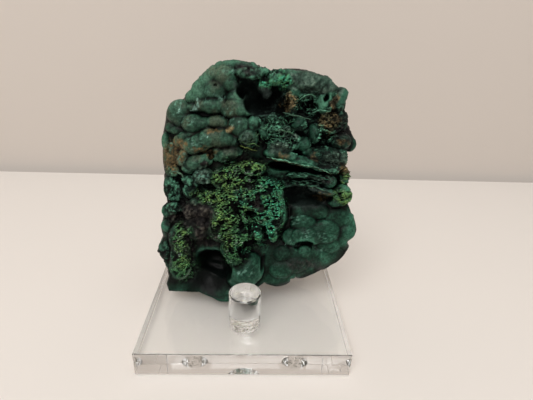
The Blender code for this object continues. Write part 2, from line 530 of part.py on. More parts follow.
def add_stone(parts, cutters, surface):
    """A UV sphere whose vertices are moved onto the stone's surface, then thinned out."""
    mesh = bpy.data.meshes.new("malachite")
    shaped = bmesh.new()
    bmesh.ops.create_uvsphere(shaped, u_segments=SEGMENTS, v_segments=RINGS, radius=1.0)
    rings = stone_surface() * MM
    front_pole = rings[0].mean(axis=0)
    back_pole = rings[-1].mean(axis=0)
    for vertex in shaped.verts:
        ring = int(round(np.arccos(np.clip(vertex.co.z, -1, 1)) / np.pi * RINGS))
        turn = np.arctan2(vertex.co.y, vertex.co.x) + np.pi
        column = int(round(turn / (2 * np.pi) * SEGMENTS)) % SEGMENTS
        if ring == 0:
            vertex.co = front_pole
        elif ring == RINGS:
            vertex.co = back_pole
        else:
            vertex.co = rings[ring - 1, column]
    shaped.to_mesh(mesh)
    shaped.free()
    mesh.materials.append(surface)
    stone = bpy.data.objects.new("malachite", mesh)
    parts.objects.link(stone)
    skin = stone.modifiers.new("skin", "REMESH")
    skin.mode = "VOXEL"
    skin.voxel_size = SKIN_CELL
    skin.adaptivity = 0.0
    skin.use_smooth_shade = True
    depsgraph = bpy.context.evaluated_depsgraph_get()
    skinned = stone.evaluated_get(depsgraph).to_mesh()
    triangles = sum(len(face.vertices) - 2 for face in skinned.polygons)
    thin = stone.modifiers.new("thin", "DECIMATE")
    thin.ratio = STONE_TRIANGLES / triangles
    thin.use_collapse_triangulate = True
    mesh.shade_smooth()
    post_top = PLATE_THICKNESS + POST_HEIGHT_ABOVE + FIT_GAP
    for post_name, centre in POST_CENTRES.items():
        cut_round(stone, post_name + "_room", centre, PLATE_THICKNESS / 2, post_top, cutters)
    return stone


# ------------------------------------------------------------------ assembly
def main():
    for thing in list(bpy.data.objects):
        bpy.data.objects.remove(thing)
    parts = add_collection("malachite_specimen")
    cutters = add_collection("cutters")
    acrylic = material("clear_acrylic", (0.95, 0.96, 0.96), 0.03, alpha=0.35, transmission=1.0)
    malachite = material("malachite", (0.03, 0.12, 0.075), 0.55)
    add_plate(parts, acrylic)
    for name, centre in POST_CENTRES.items():
        add_post(name, centre, parts, acrylic)
    add_stone(parts, cutters, malachite)


main()
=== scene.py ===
# %% [markdown]
# # A malachite specimen on its clear stand
#
# The real object is a cabinet specimen of botryoidal malachite: a slab a little taller
# than a hand is wide, leaning back behind the front post of a clear acrylic stand. The packed
# model already has its solids at their real size. This notebook dresses them: every surface that
# meets the eye gets its own fine shape and its own finish, one cell at a time.

import json

import bmesh
import bpy
import numpy as np
from mathutils import Matrix, Vector

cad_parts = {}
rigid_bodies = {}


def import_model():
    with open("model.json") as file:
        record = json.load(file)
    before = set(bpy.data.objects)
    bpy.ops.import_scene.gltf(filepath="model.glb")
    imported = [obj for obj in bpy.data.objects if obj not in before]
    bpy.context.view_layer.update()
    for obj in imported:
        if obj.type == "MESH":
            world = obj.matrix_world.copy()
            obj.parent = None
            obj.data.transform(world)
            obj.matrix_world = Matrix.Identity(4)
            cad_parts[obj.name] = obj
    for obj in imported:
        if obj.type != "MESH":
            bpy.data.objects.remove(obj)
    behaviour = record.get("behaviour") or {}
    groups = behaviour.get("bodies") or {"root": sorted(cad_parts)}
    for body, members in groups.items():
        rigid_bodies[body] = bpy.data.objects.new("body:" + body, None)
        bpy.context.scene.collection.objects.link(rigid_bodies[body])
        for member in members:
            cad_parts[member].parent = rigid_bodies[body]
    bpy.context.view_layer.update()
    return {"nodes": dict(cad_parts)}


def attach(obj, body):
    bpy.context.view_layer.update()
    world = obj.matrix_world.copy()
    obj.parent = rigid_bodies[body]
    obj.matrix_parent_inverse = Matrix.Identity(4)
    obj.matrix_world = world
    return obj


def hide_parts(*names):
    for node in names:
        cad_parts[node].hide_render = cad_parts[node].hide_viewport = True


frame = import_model()
MM = 0.001
print("nodes:", sorted(frame["nodes"]))

# %% [markdown]
# ## The camera and the room
#
# The eye stands a little above the stone and looks down at it by about a quarter of a right
# angle. The lens and place are given as real lengths, so the frame follows from them. The room
# is only a pale table and a pale wall, lit by a broad soft light overhead, as in a display
# room.

# %% camera
EYE = Vector((3.366, -179.415, 149.198)) * MM
PITCH_DOWN = np.radians(24.277)
TURN_RIGHT = np.radians(2.146)
ROLL = np.radians(2.016)
SENSOR_WIDTH = 36.0
LENS = 25.388


def camera_axes():
    """Right, up and forward of the camera: turned about Z, pitched down, then rolled."""
    forward = Vector((np.sin(TURN_RIGHT) * np.cos(PITCH_DOWN),
                      np.cos(TURN_RIGHT) * np.cos(PITCH_DOWN), -np.sin(PITCH_DOWN)))
    level = Vector((np.cos(TURN_RIGHT), -np.sin(TURN_RIGHT), 0.0))
    above = level.cross(forward)
    right = level * np.cos(ROLL) + above * np.sin(ROLL)
    up = above * np.cos(ROLL) - level * np.sin(ROLL)
    return right, up, forward


def add_camera():
    """A camera whose matrix has the axes above as its columns."""
    right, up, forward = camera_axes()
    data = bpy.data.cameras.new("camera")
    data.sensor_width = SENSOR_WIDTH
    data.lens = LENS
    data.clip_start = 0.01
    camera = bpy.data.objects.new("camera", data)
    bpy.context.scene.collection.objects.link(camera)
    placed = Matrix((right, up, -forward)).transposed().to_4x4()
    placed.translation = EYE
    camera.matrix_world = placed
    bpy.context.scene.camera = camera


add_camera()
bpy.context.scene.view_settings.view_transform = "Standard"
# A ray inside the clear plate turns back many times before it finds its way out.
cycles = bpy.context.scene.cycles
cycles.max_bounces = 24
cycles.glossy_bounces = 20
cycles.transmission_bounces = 20
cycles.blur_glossy = 0.0
print("camera at", [round(v, 3) for v in EYE])

# %% every mesh is made from two arrays
def sheet_mesh(name, points, faces, smooth=True):
    """A mesh from an array of points and an array of faces with equal numbers of corners."""
    mesh = bpy.data.meshes.new(name)
    mesh.vertices.add(len(points))
    mesh.vertices.foreach_set("co", np.ascontiguousarray(points, dtype=np.float32).ravel())
    corners = faces.shape[1]
    mesh.loops.add(faces.size)
    mesh.loops.foreach_set("vertex_index", faces.astype(np.int32).ravel())
    mesh.polygons.add(len(faces))
    mesh.polygons.foreach_set("loop_start", np.arange(0, faces.size, corners, dtype=np.int32))
    mesh.update(calc_edges=True)
    mesh.validate()
    if smooth:
        mesh.shade_smooth()
    return mesh


def add_piece(name, mesh, finish):
    """An object at the origin for a mesh whose place is in its points."""
    piece = bpy.data.objects.new(name, mesh)
    bpy.context.scene.collection.objects.link(piece)
    mesh.materials.append(finish)
    return piece


# %% colours are named as they look on screen
def linear(red, green, blue):
    """Linear light from screen values 0 to 255: the inverse of the screen's own curve."""
    shown = np.array([red, green, blue], dtype=float) / 255.0
    return np.where(shown <= 0.04045, shown / 12.92, ((shown + 0.055) / 1.055) ** 2.4)


def plain_finish(name, colour, roughness):
    """A finish of one colour and one roughness."""
    finish = bpy.data.materials.new(name)
    finish.use_nodes = True
    surface = finish.node_tree.nodes["Principled BSDF"]
    surface.inputs["Base Color"].default_value = (*colour, 1.0)
    surface.inputs["Roughness"].default_value = roughness
    return finish


# %% table, wall and light
TABLE_DEPTH = 0.214
TABLE_TURN = 0.0015
TABLE_DROP = 0.0002
ROOM = 3.0
WALL_TOP = 2.0
AMBIENT = 0.46
WARM_WHITE = (1.0, 0.985, 0.965)
# Each panel's place, its two sides and its power in watts.
CEILING_PANELS = [((-0.22, -0.75, 1.15), (1.0, 0.8), 11.7), ((0.25, 0.10, 1.3), (0.9, 0.6), 3.0)]
LIT_POINT = Vector((0, 0.02, 0.05))
WALL_GAP = 0.012
WALL_FOOT = -0.5


def flat_panel(name, corners, finish):
    """One flat face with four corners."""
    mesh = sheet_mesh(name, np.array(corners, dtype=float), np.array([[0, 1, 2, 3]]), smooth=False)
    return add_piece(name, mesh, finish)


def add_room():
    """A table whose far edge is turned a little, and a wall behind it."""
    table_finish = plain_finish("table_paint", linear(228, 222, 216), 0.55)
    wall_finish = plain_finish("wall_paint", linear(210, 200, 191), 0.8)
    low = -TABLE_DROP
    far_right = TABLE_DEPTH + TABLE_TURN * ROOM
    far_left = TABLE_DEPTH - TABLE_TURN * ROOM
    table = flat_panel("table", [(-ROOM, -ROOM, low), (ROOM, -ROOM, low), (ROOM, far_right, low),
                                 (-ROOM, far_left, low)], table_finish)
    wall_y = TABLE_DEPTH + WALL_GAP
    wall = flat_panel("wall", [(-ROOM, wall_y, WALL_FOOT), (ROOM, wall_y, WALL_FOOT),
                               (ROOM, wall_y, WALL_TOP), (-ROOM, wall_y, WALL_TOP)], wall_finish)


def add_lamp(name, place, size, power):
    """A soft rectangle of light that faces the stone."""
    data = bpy.data.lights.new(name, "AREA")
    data.shape = "RECTANGLE"
    data.size, data.size_y = size
    data.energy = power
    data.color = WARM_WHITE
    lamp = bpy.data.objects.new(name, data)
    bpy.context.scene.collection.objects.link(lamp)
    lamp.location = place
    lamp.rotation_mode = "QUATERNION"
    lamp.rotation_quaternion = (LIT_POINT - Vector(place)).to_track_quat("-Z", "Y")


def add_light():
    """An even warm light from all round, and the panels overhead."""
    world = bpy.data.worlds.new("room_light")
    world.use_nodes = True
    backdrop = world.node_tree.nodes["Background"]
    backdrop.inputs["Color"].default_value = (*WARM_WHITE, 1.0)
    backdrop.inputs["Strength"].default_value = AMBIENT
    bpy.context.scene.world = world
    for number, (place, size, power) in enumerate(CEILING_PANELS):
        add_lamp(f"ceiling_panel_{number + 1}", place, size, power)


add_room()
add_light()
print("room ready, with", len(CEILING_PANELS), "ceiling panels")

# %% [markdown]
# ## The stone's own axes
#
# A leaning slab is easiest to describe lying flat. So the stone has axes of its own, in
# millimetres: a to the right, b up the slab, c out of it. Every lump, cave and ledge is named
# by where it is seen on the slab, and it grows along lines that fan in towards one point in
# front. Lines from one point never cross, so however far the surface is pushed along them it
# can't fold through itself.

# %% axes, and how they lie in the world
LEAN = np.radians(10.0)
SLAB_ORIGIN = np.array([0.0, -10.0, 12.7])
AXIS_A = np.array([1.0, 0.0, 0.0])
AXIS_B = np.array([0.0, np.sin(LEAN), np.cos(LEAN)])
AXIS_C = np.array([0.0, -np.cos(LEAN), np.sin(LEAN)])
GROWTH_POINT = np.array([3.4, 105.0, 190.5])


def unit(vectors):
    """Each vector divided by its own length."""
    return vectors / np.linalg.norm(vectors, axis=-1, keepdims=True)


def to_world(points):
    """SLAB_ORIGIN plus a, b and c along their axes, in millimetres."""
    return SLAB_ORIGIN + points[..., :1] * AXIS_A + points[..., 1:2] * AXIS_B + points[..., 2:] * AXIS_C


def growth_direction(a, b):
    """From (a, b, 0) to the growth point, scaled to one millimetre along c."""
    start = np.stack([a, b, np.zeros_like(a)], axis=-1)
    return (GROWTH_POINT - start) / GROWTH_POINT[2]


print("stone axes lean", round(float(np.degrees(LEAN))), "degrees")

# %% [markdown]
# ## Randomness that stays put
#
# A stone has no two grains alike, yet its shape may not change from one run to the next. So
# all randomness is a fixed function of place: a number for each node of a lattice, blended
# smoothly between nodes, or a seed strewn in each cell of it.

# %% noise
def hashed(node, seed):
    """A fixed number from 0 to 1 for each whole-number place: the fraction of a large sine."""
    value = np.sin(node @ np.array([127.1, 311.7, 74.7]) + 17.0 * seed) * 43758.5453
    return value - np.floor(value)


def lattice_noise(points, cell, seed=0):
    """Smooth noise from -1 to 1: random values on a cubic lattice, blended between its nodes."""
    scaled = points / cell
    low = np.floor(scaled)
    part = scaled - low
    blend = part * part * (3.0 - 2.0 * part)
    total = np.zeros(points.shape[:-1])
    for corner in np.ndindex(2, 2, 2):
        step = np.array(corner, dtype=float)
        weight = np.prod(np.where(step == 1.0, blend, 1.0 - blend), axis=-1)
        total += weight * hashed(low + step, seed)
    return total * 2.0 - 1.0


def layered_noise(points, cell, layers=3, seed=0):
    """Noise, plus half as much at half the size, and so on."""
    total = np.zeros(points.shape[:-1])
    for layer in range(layers):
        total += lattice_noise(points, cell / 2**layer, seed + layer) / 2**layer
    return total


def nearest_seed(points, cell, seed=0):
    """Distance to the nearest of the seeds strewn one to a cell, in cells, and its own number."""
    scaled = points / cell
    low = np.floor(scaled)
    best = np.full(points.shape[:-1], 9.0)
    number = np.zeros(points.shape[:-1])
    for corner in np.ndindex(3, 3, 3):
        node = low + np.array(corner, dtype=float) - 1.0
        spot = node + np.stack([hashed(node, seed), hashed(node, seed + 1), hashed(node, seed + 2)], -1)
        away = np.linalg.norm(spot - scaled, axis=-1)
        number = np.where(away < best, hashed(node, seed + 3), number)
        best = np.minimum(best, away)
    return best, number


def small_domes(points, cell, fill=0.62, seed=0):
    """Round domes over the strewn seeds: height is the square root of 1 less distance squared."""
    away, number = nearest_seed(points, cell, seed)
    size = fill * (0.65 + 0.6 * number)
    return np.sqrt(np.maximum(1.0 - (away / size) ** 2, 0.0)) * size


def winding_ridges(points, cell, width, seed=0):
    """1 along the winding lines where noise crosses zero, falling below 0 far from them."""
    shift = [lattice_noise(points, 2.2 * cell, seed + k) for k in (5, 6, 7)]
    bent = points + 0.7 * cell * np.stack(shift, -1)
    value = lattice_noise(bent, cell, seed) + 0.45 * lattice_noise(points, cell * 0.47, seed + 1)
    return 1.0 - np.abs(value) / width


print("noise ready")

# %% [markdown]
# ## The bare slab
#
# Before anything grows on it, the stone is a slab with a ragged edge: a front that is nearly
# flat, and a broken back whose faces are planes. It is a function of two numbers: how far one
# has walked from the front's centre over the edge to the back's centre, and in which
# direction. One function of arrays gives any number of points.

# %% the slab's edge (a, b, c), swells (a, b, half widths, rise) and breaks (depth, two slopes)
SLAB_CENTRE = np.array([3.0, 64.0])
BACK_CENTRE = np.array([3.0, 70.0])
EDGE = np.array([
    (-42.5, 3.3, 0.0), (-43.7, 8, -1), (-42.2, 12.5, -3), (-43.1, 17, -4), (-45.1, 21.5, -5),
    (-47, 27, -6), (-46.2, 32, -6), (-44.5, 35.5, -7), (-45.4, 40.5, -6), (-44.2, 45, -7),
    (-42.2, 53.5, -8), (-42, 60, -8), (-42.8, 65, -8), (-42.4, 70, -8), (-42.9, 76, -8),
    (-42.6, 83, -8), (-42.2, 90, -8), (-41.0, 95, -8), (-40.0, 100, -7), (-38.5, 103.5, -7),
    (-35.5, 106, -7), (-32, 106.3, -8), (-27.3, 111.2, -7), (-23.3, 114.5, -7), (-19.5, 119, -7),
    (-15.5, 122.9, -7), (-12, 124.7, -7), (-7, 125.2, -7), (0, 124.3, -7), (5, 122.6, -7),
    (9.5, 120.4, -7), (14, 120.8, -7), (18, 121.8, -7), (24, 122, -7), (33, 120, -7),
    (37.5, 117.6, -7), (41, 115.4, -7), (43, 112, -7), (47, 109.5, -6), (47, 102, -7),
    (49, 99, -7), (51.5, 94, -7), (54.4, 86, -7), (50, 81.5, -7), (49.6, 73.5, -7),
    (50.6, 68, -6), (54.4, 60, -4), (53, 55.5, -6), (54.4, 50, -7), (56.6, 45, -6), (58.8, 40, -5),
    (57.8, 37.3, -5), (54, 35.7, -6), (50, 32.5, -6), (48.5, 29, -5), (42, 23.0, -5),
    (34, 17.8, -4), (26, 12.6, -4), (20, 10.5, -4), (14, 9.6, -3), (10, 9.0, -2), (3, 4, 2),
    (-3, -0.7, 3), (-9, -3.4, 4), (-14, -3.3, 4), (-18, -0.6, 2.5), (-26, 3.0, 0), (-37, 3.4, 0),
])
SWELLS = [
    (32, 48, 18, 16, -9), (38, 28, 14, 12, -4), (-20, 14, 9, 10, -8), (-5, 52, 20, 18, 6),
    (22, 96, 24, 16, 3.5), (-18, 96, 16, 20, 3),
]
BREAKS = [
    (40.5, 0.07, 0.0), (47.0, 0.50, -0.06), (66.0, -0.62, -0.10), (88.0, 0.16, -0.55),
    (43.0, -0.20, -0.04),
]
BACK_SQUARENESS = 4.0
FOOT_Y = -7.0
FOOT_Z = 12.9
UNDERSIDE_SLOPE = 0.40
# The walk that stands for the back's centre, a hair short of 2 so that it has a normal.
BACK_POLE = 1.9999


def slab_edge(angles):
    """Distance of the edge from the slab's centre, and its c, for each angle round it."""
    away = EDGE[:, :2] - SLAB_CENTRE
    at = np.arctan2(away[:, 1], away[:, 0])
    order = np.argsort(at)
    reach = np.interp(angles, at[order], np.hypot(*away[order].T), period=2 * np.pi)
    forward = np.interp(angles, at[order], EDGE[order, 2], period=2 * np.pi)
    return reach, forward


def raise_underside(points):
    """Lift what hangs below the sloping underside onto it, along b."""
    world = to_world(points)
    floor = FOOT_Z + UNDERSIDE_SLOPE * np.maximum(world[..., 1] - FOOT_Y, 0)
    short = np.maximum(floor - world[..., 2], 0)
    lifted = points.copy()
    lifted[..., 1] += short / (AXIS_B[2] - UNDERSIDE_SLOPE * AXIS_B[1])
    return lifted


def datum(walk, angles):
    """The place (a, b) at a share of the way from the centre to the edge."""
    reach, _ = slab_edge(angles)
    ray = np.stack([np.cos(angles), np.sin(angles)], -1)
    return SLAB_CENTRE + (reach * np.minimum(walk, 1.0))[..., None] * ray


def front_place(walk, angles):
    """Front: a share of the way to the edge, raised by the swells and turned down at the edge."""
    _, edge_c = slab_edge(angles)
    a, b = np.moveaxis(datum(walk, angles), -1, 0)
    height = np.ones_like(a)
    for a0, b0, half_a, half_b, rise in SWELLS:
        height = height + rise * np.exp(-((a - a0) / half_a) ** 2 - ((b - b0) / half_b) ** 2)
    fullness = (1.0 - np.clip(walk, 0, 1) ** 5) ** (1 / 3)
    c = edge_c + (height - edge_c) * fullness
    return np.stack([a, b, np.zeros_like(a)], -1) + growth_direction(a, b) * c[..., None]


def slab_place(walk, angles):
    """Walk 0 to 1 crosses the front; 1 to 2 turns over the edge onto the planes of the back."""
    front = front_place(np.minimum(walk, 1.0), angles)
    turn = 0.5 * np.pi * np.clip(walk - 1.0, 0, 1)
    spread = np.cos(turn) ** (2 / BACK_SQUARENESS)
    sunk = np.sin(turn) ** (2 / BACK_SQUARENESS)
    edge = front_place(np.ones_like(walk), angles)
    ab = BACK_CENTRE + (edge[..., :2] - BACK_CENTRE) * spread[..., None]
    planes = [d + sa * ab[..., 0] + sb * ab[..., 1] for d, sa, sb in BREAKS]
    depth = np.min(planes, axis=0)
    c = edge[..., 2] - (depth + edge[..., 2]) * sunk
    back = raise_underside(np.concatenate([ab, c[..., None]], -1))
    return np.where((walk > 1.0)[..., None], back, front)


def slab_normals(walk, angles, step=0.004):
    """Across the two small steps along the walk and round it."""
    along = slab_place(np.minimum(walk + step, BACK_POLE), angles) - slab_place(walk - step, angles)
    around = slab_place(walk, angles + step) - slab_place(walk, angles - step)
    return unit(np.cross(along, around) + 1e-9)


def walk_to(a, b):
    """The walk and angle that lead to a place (a, b) on the front."""
    away = np.stack([a, b], -1) - SLAB_CENTRE
    angles = np.arctan2(away[..., 1], away[..., 0])
    reach, _ = slab_edge(angles)
    return np.hypot(away[..., 0], away[..., 1]) / reach, angles


print("slab edge has", len(EDGE), "points")

# %% [markdown]
# ## Growths and caves
#
# Malachite grows as rounded buds that crowd each other. Each bud is an ellipsoid known by its
# crown, and neighbours that grew at the same time melt into one sausage or shoulder. So buds
# come in families: within a family their surfaces are joined softly, and where two families
# meet the outer one wins and leaves a sharp crease. The surface is pushed out along its growth
# line to the outermost family it meets. A cave pulls it back to its floor instead.

# %% families of buds
# Families of rounded growths. Each has how far its members melt together, how full they are
# (1 is round, less is flatter), then each member's a, b, crown height, half width and half
# height in millimetres. A crease parts two families.
VELVET_BUDS = [
    (1.2, 0.85, [(-32.8, 99.6, 5.2, 7.2, 6.9), (-32.4, 95.4, 4.2, 4.0, 3.6), (-37.0, 99.0, 2.2, 3.2, 3.8)]),
    (0.8, 0.90, [(-27.0, 102.4, 5.2, 3.8, 2.0), (-24.4, 101.8, 5.4, 2.4, 1.5)]),
    (2.2, 0.80, [(-26.4, 107.6, 4.8, 4.6, 3.8), (-22.0, 111.8, 5.2, 5.6, 5.0),
                 (-18.0, 115.8, 5.2, 5.4, 4.6), (-15.0, 119.4, 4.4, 5.0, 3.6)]),
    (1.6, 0.85, [(-11.4, 116.6, 7.8, 6.0, 6.0), (-8.6, 113.0, 6.8, 3.6, 3.2)]),
    (1.6, 0.80, [(-12.0, 121.9, 3.4, 4.8, 2.8), (-7.0, 122.7, 3.4, 5.2, 2.8), (-0.5, 121.9, 3.6, 5.2, 2.8),
                 (6.0, 119.8, 3.8, 4.6, 2.8)]),
    (1.4, 0.85, [(-15.8, 111.0, 8.0, 5.6, 4.4), (-20.6, 109.4, 7.0, 4.6, 3.6),
                 (-24.6, 107.2, 6.0, 3.0, 2.6)]),
    (1.4, 0.85, [(-17.6, 103.4, 8.6, 6.0, 3.8), (-22.8, 103.8, 7.4, 3.4, 2.8),
                 (-13.2, 104.6, 7.6, 2.8, 3.0)]),
    (2.0, 0.85, [(-7.8, 102.2, 9.4, 6.6, 4.3), (-6.6, 106.8, 8.2, 5.0, 4.8), (-2.4, 101.6, 8.2, 4.2, 3.2)]),
    (1.2, 0.90, [(-27.0, 94.6, 9.0, 5.9, 4.7), (-21.2, 94.8, 7.4, 3.0, 3.2), (-15.4, 96.0, 8.4, 5.0, 3.4),
                 (-11.2, 94.8, 7.2, 2.8, 2.8)]),
    (1.4, 0.90, [(-4.4, 94.2, 10.0, 5.9, 5.5)]),
    (1.4, 0.90, [(2.8, 95.2, 9.4, 3.8, 4.0)]),
    (1.8, 0.90, [(-31.4, 84.6, 7.4, 2.8, 3.0), (-27.7, 83.9, 9.4, 4.8, 4.6), (-23.4, 86.0, 10.0, 5.2, 4.8),
                 (-19.4, 88.0, 10.8, 4.8, 4.7), (-13.6, 88.2, 10.4, 5.8, 4.9),
                 (-7.8, 86.6, 8.6, 3.9, 3.3)]),
    (0.9, 0.90, [(-34.3, 86.0, 5.6, 3.0, 3.2), (-31.0, 88.4, 6.6, 3.8, 2.6), (-27.4, 89.8, 6.8, 3.2, 1.9)]),
    (1.4, 0.70, [(-37.6, 92.6, 1.8, 3.6, 2.8), (-34.4, 91.2, 3.4, 4.2, 2.2)]),
    (0.8, 0.80, [(-41.0, 85.5, 0.6, 2.2, 5.0)]),
    (1.0, 0.90, [(-31.8, 78.6, 7.2, 2.9, 4.0), (-33.6, 75.8, 6.4, 2.2, 2.4)]),
    (1.8, 0.90, [(-29.6, 73.0, 8.8, 3.9, 3.3), (-25.5, 75.4, 10.0, 5.4, 4.0),
                 (-21.4, 76.8, 9.2, 3.6, 3.1)]),
    (1.2, 0.85, [(-10.4, 80.2, 8.8, 5.2, 3.5), (-6.2, 81.6, 7.8, 3.6, 2.8), (-13.0, 78.2, 7.6, 3.2, 2.2)]),
    (0.6, 0.90, [(-15.4, 82.0, 7.2, 2.4, 2.2)]),
    (0.6, 0.90, [(-16.0, 78.4, 7.0, 2.0, 2.1)]),
    (1.2, 0.90, [(0.2, 88.2, 11.4, 4.8, 4.6)]),
    (1.5, 0.85, [(-22.5, 68.5, 10.2, 5.4, 4.4), (-20.4, 65.0, 9.2, 3.8, 2.8)]),
    (1.5, 0.85, [(-29.2, 61.5, 8.4, 3.9, 4.9), (-30.6, 66.2, 7.0, 3.2, 2.8)]),
]
EDGE_LUMPS = [
    (1.4, 0.85, [(-38.0, 71.0, 3.4, 4.4, 3.0), (-40.2, 62.5, 1.6, 3.4, 7.0)]),
    (1.2, 0.85, [(-41.4, 49.8, 1.8, 3.2, 4.4), (-37.8, 51.2, 5.0, 3.6, 3.0)]),
    (1.2, 0.90, [(-41.8, 41.4, 2.4, 3.6, 3.6)]),
    (1.4, 0.90, [(-42.8, 28.6, 1.8, 4.2, 5.8)]),
    (2.0, 0.50, [(-35.2, 34.0, 7.6, 5.8, 9.0), (-35.4, 25.0, 7.8, 5.2, 7.0), (-36.2, 17.6, 6.8, 5.6, 6.6)]),
    (1.0, 0.70, [(-33.6, 38.0, 9.2, 3.2, 2.8), (-36.0, 29.6, 9.0, 3.0, 3.2)]),
]
CRUST_MOUNDS = [
    (2.2, 0.70, [(-5.0, 64.0, 12.0, 15.0, 11.5), (8.0, 55.0, 14.0, 12.0, 13.5),
                 (-12.0, 54.0, 11.5, 13.5, 9.5), (-10.0, 42.0, 12.0, 12.0, 9.5),
                 (12.0, 49.0, 15.0, 8.4, 9.5)]),
    (1.2, 0.90, [(-7.0, 30.0, 13.0, 6.6, 7.4), (-5.6, 33.0, 15.0, 4.2, 4.0)]),
    (0.8, 0.90, [(-6.4, 24.0, 14.6, 4.4, 4.0)]),
    (0.8, 0.90, [(17.2, 52.0, 14.0, 3.0, 6.6)]),
    (0.8, 0.90, [(5.8, 40.4, 15.0, 3.2, 3.6), (6.4, 37.0, 13.6, 1.8, 2.8)]),
    (0.8, 0.90, [(12.6, 41.2, 15.0, 2.8, 3.2), (14.2, 37.2, 13.2, 2.0, 3.2)]),
    (0.8, 0.90, [(8.0, 58.2, 16.6, 4.4, 4.2)]),
    (0.8, 0.90, [(-1.2, 37.6, 14.0, 3.8, 3.6)]),
    (0.8, 0.90, [(0.0, 46.0, 14.6, 2.6, 2.5)]),
    (0.8, 0.90, [(-8.0, 45.6, 15.0, 3.8, 3.8)]),
    (0.8, 0.80, [(-14.6, 47.0, 13.6, 3.4, 3.0)]),
    (0.8, 0.80, [(-13.0, 64.6, 13.2, 4.4, 3.2)]),
    (0.8, 0.80, [(2.6, 72.6, 13.6, 5.6, 3.4)]),
    (2.4, 0.45, [(-26.0, 45.0, 8.4, 9.0, 11.0), (-22.0, 53.0, 9.4, 8.0, 6.0)]),
    (1.4, 0.80, [(-27.6, 50.0, 10.0, 4.2, 3.6), (-23.4, 43.0, 10.4, 4.0, 3.4),
                 (-28.0, 38.0, 8.8, 3.4, 3.8)]),
]
BOWL_BUDS = [
    (1.4, 0.75, [(0.4, 18.0, 10.0, 9.2, 9.8), (-2.0, 12.0, 8.6, 8.4, 6.4)]),
    (2.0, 0.30, [(20.0, 26.0, 0.0, 13.0, 12.0), (31.0, 22.0, 0.2, 13.0, 10.0),
                 (43.0, 30.0, 0.6, 13.0, 11.0), (24.0, 47.0, -0.4, 13.0, 13.0),
                 (40.0, 50.0, -0.4, 16.0, 10.0), (50.0, 42.0, 0.2, 9.0, 10.0),
                 (17.0, 15.0, 0.4, 10.0, 8.0)]),
    (1.2, 0.42, [(19.0, 17.0, 2.6, 6.6, 5.0), (27.0, 20.4, 2.2, 6.0, 4.8)]),
    (1.2, 0.45, [(19.4, 26.6, 1.8, 5.2, 4.8)]),
    (1.6, 0.42, [(30.2, 43.6, 2.6, 7.0, 5.0), (26.6, 50.0, 0.8, 4.6, 4.4)]),
    (1.8, 0.42, [(24.6, 36.4, 3.0, 5.4, 4.8), (31.0, 37.2, 4.2, 6.6, 4.8), (37.0, 37.6, 3.8, 5.2, 5.2)]),
    (1.8, 0.38, [(42.2, 39.6, 3.2, 7.8, 6.6), (44.4, 32.4, 2.4, 6.4, 5.4)]),
    (1.0, 0.50, [(40.8, 27.2, 2.0, 4.8, 3.6)]),
    (1.0, 0.55, [(53.8, 39.4, 1.8, 4.8, 4.4)]),
    (1.2, 0.40, [(38.4, 50.6, 0.8, 6.0, 4.4)]),
    (1.2, 0.40, [(47.4, 48.6, 0.8, 5.4, 4.8)]),
]
MATRIX_LUMPS = [
    (2.0, 0.70, [(26.0, 115.0, 8.0, 10.6, 6.4), (34.0, 113.6, 7.0, 7.8, 6.2), (39.8, 110.8, 4.8, 5.4, 4.8),
                 (19.0, 117.2, 6.2, 5.6, 4.8)]),
    (1.0, 0.80, [(14.0, 119.2, 3.4, 5.6, 2.8)]),
    (0.6, 1.00, [(22.6, 111.0, 8.6, 2.8, 2.4)]),
    (1.0, 0.90, [(20.2, 107.2, 9.8, 3.4, 3.8), (20.6, 103.0, 9.2, 3.8, 3.4)]),
    (0.8, 1.00, [(27.4, 109.2, 8.2, 4.4, 2.2)]),
    (1.0, 0.85, [(36.6, 105.8, 8.6, 4.8, 6.2), (43.5, 106.0, 5.8, 4.4, 6.0)]),
    (1.0, 0.85, [(41.0, 96.4, 9.2, 6.4, 5.0), (45.6, 98.4, 5.8, 4.4, 5.8)]),
    (1.0, 0.85, [(45.0, 110.8, 4.4, 4.2, 3.6)]),
    (0.6, 1.00, [(25.2, 96.0, 9.6, 4.0, 3.6)]),
    (0.6, 1.00, [(33.2, 91.6, 8.6, 3.4, 5.0)]),
    (0.6, 1.00, [(28.0, 86.0, 9.6, 3.6, 3.6)]),
    (0.6, 1.00, [(23.0, 87.0, 10.4, 3.8, 4.0)]),
    (0.6, 1.00, [(30.4, 82.2, 8.6, 3.2, 2.6)]),
    (1.5, 0.80, [(16.0, 93.0, 11.2, 5.2, 4.2), (9.6, 92.6, 10.7, 4.4, 4.4), (16.6, 84.8, 13.0, 6.4, 5.2)]),
    (1.0, 0.80, [(46.0, 88.0, 6.6, 6.2, 4.4)]),
    (0.8, 0.90, [(51.4, 87.0, -1.0, 3.6, 4.8)]),
    (1.6, 0.75, [(38.0, 80.0, 10.2, 10.0, 5.2), (46.0, 79.0, 7.4, 5.2, 6.0)]),
    (1.0, 0.90, [(49.6, 60.0, 8.2, 5.4, 5.6), (46.0, 58.0, 7.2, 4.2, 4.2)]),
    (0.8, 0.90, [(50.0, 70.0, 3.2, 2.8, 5.6)]),
]
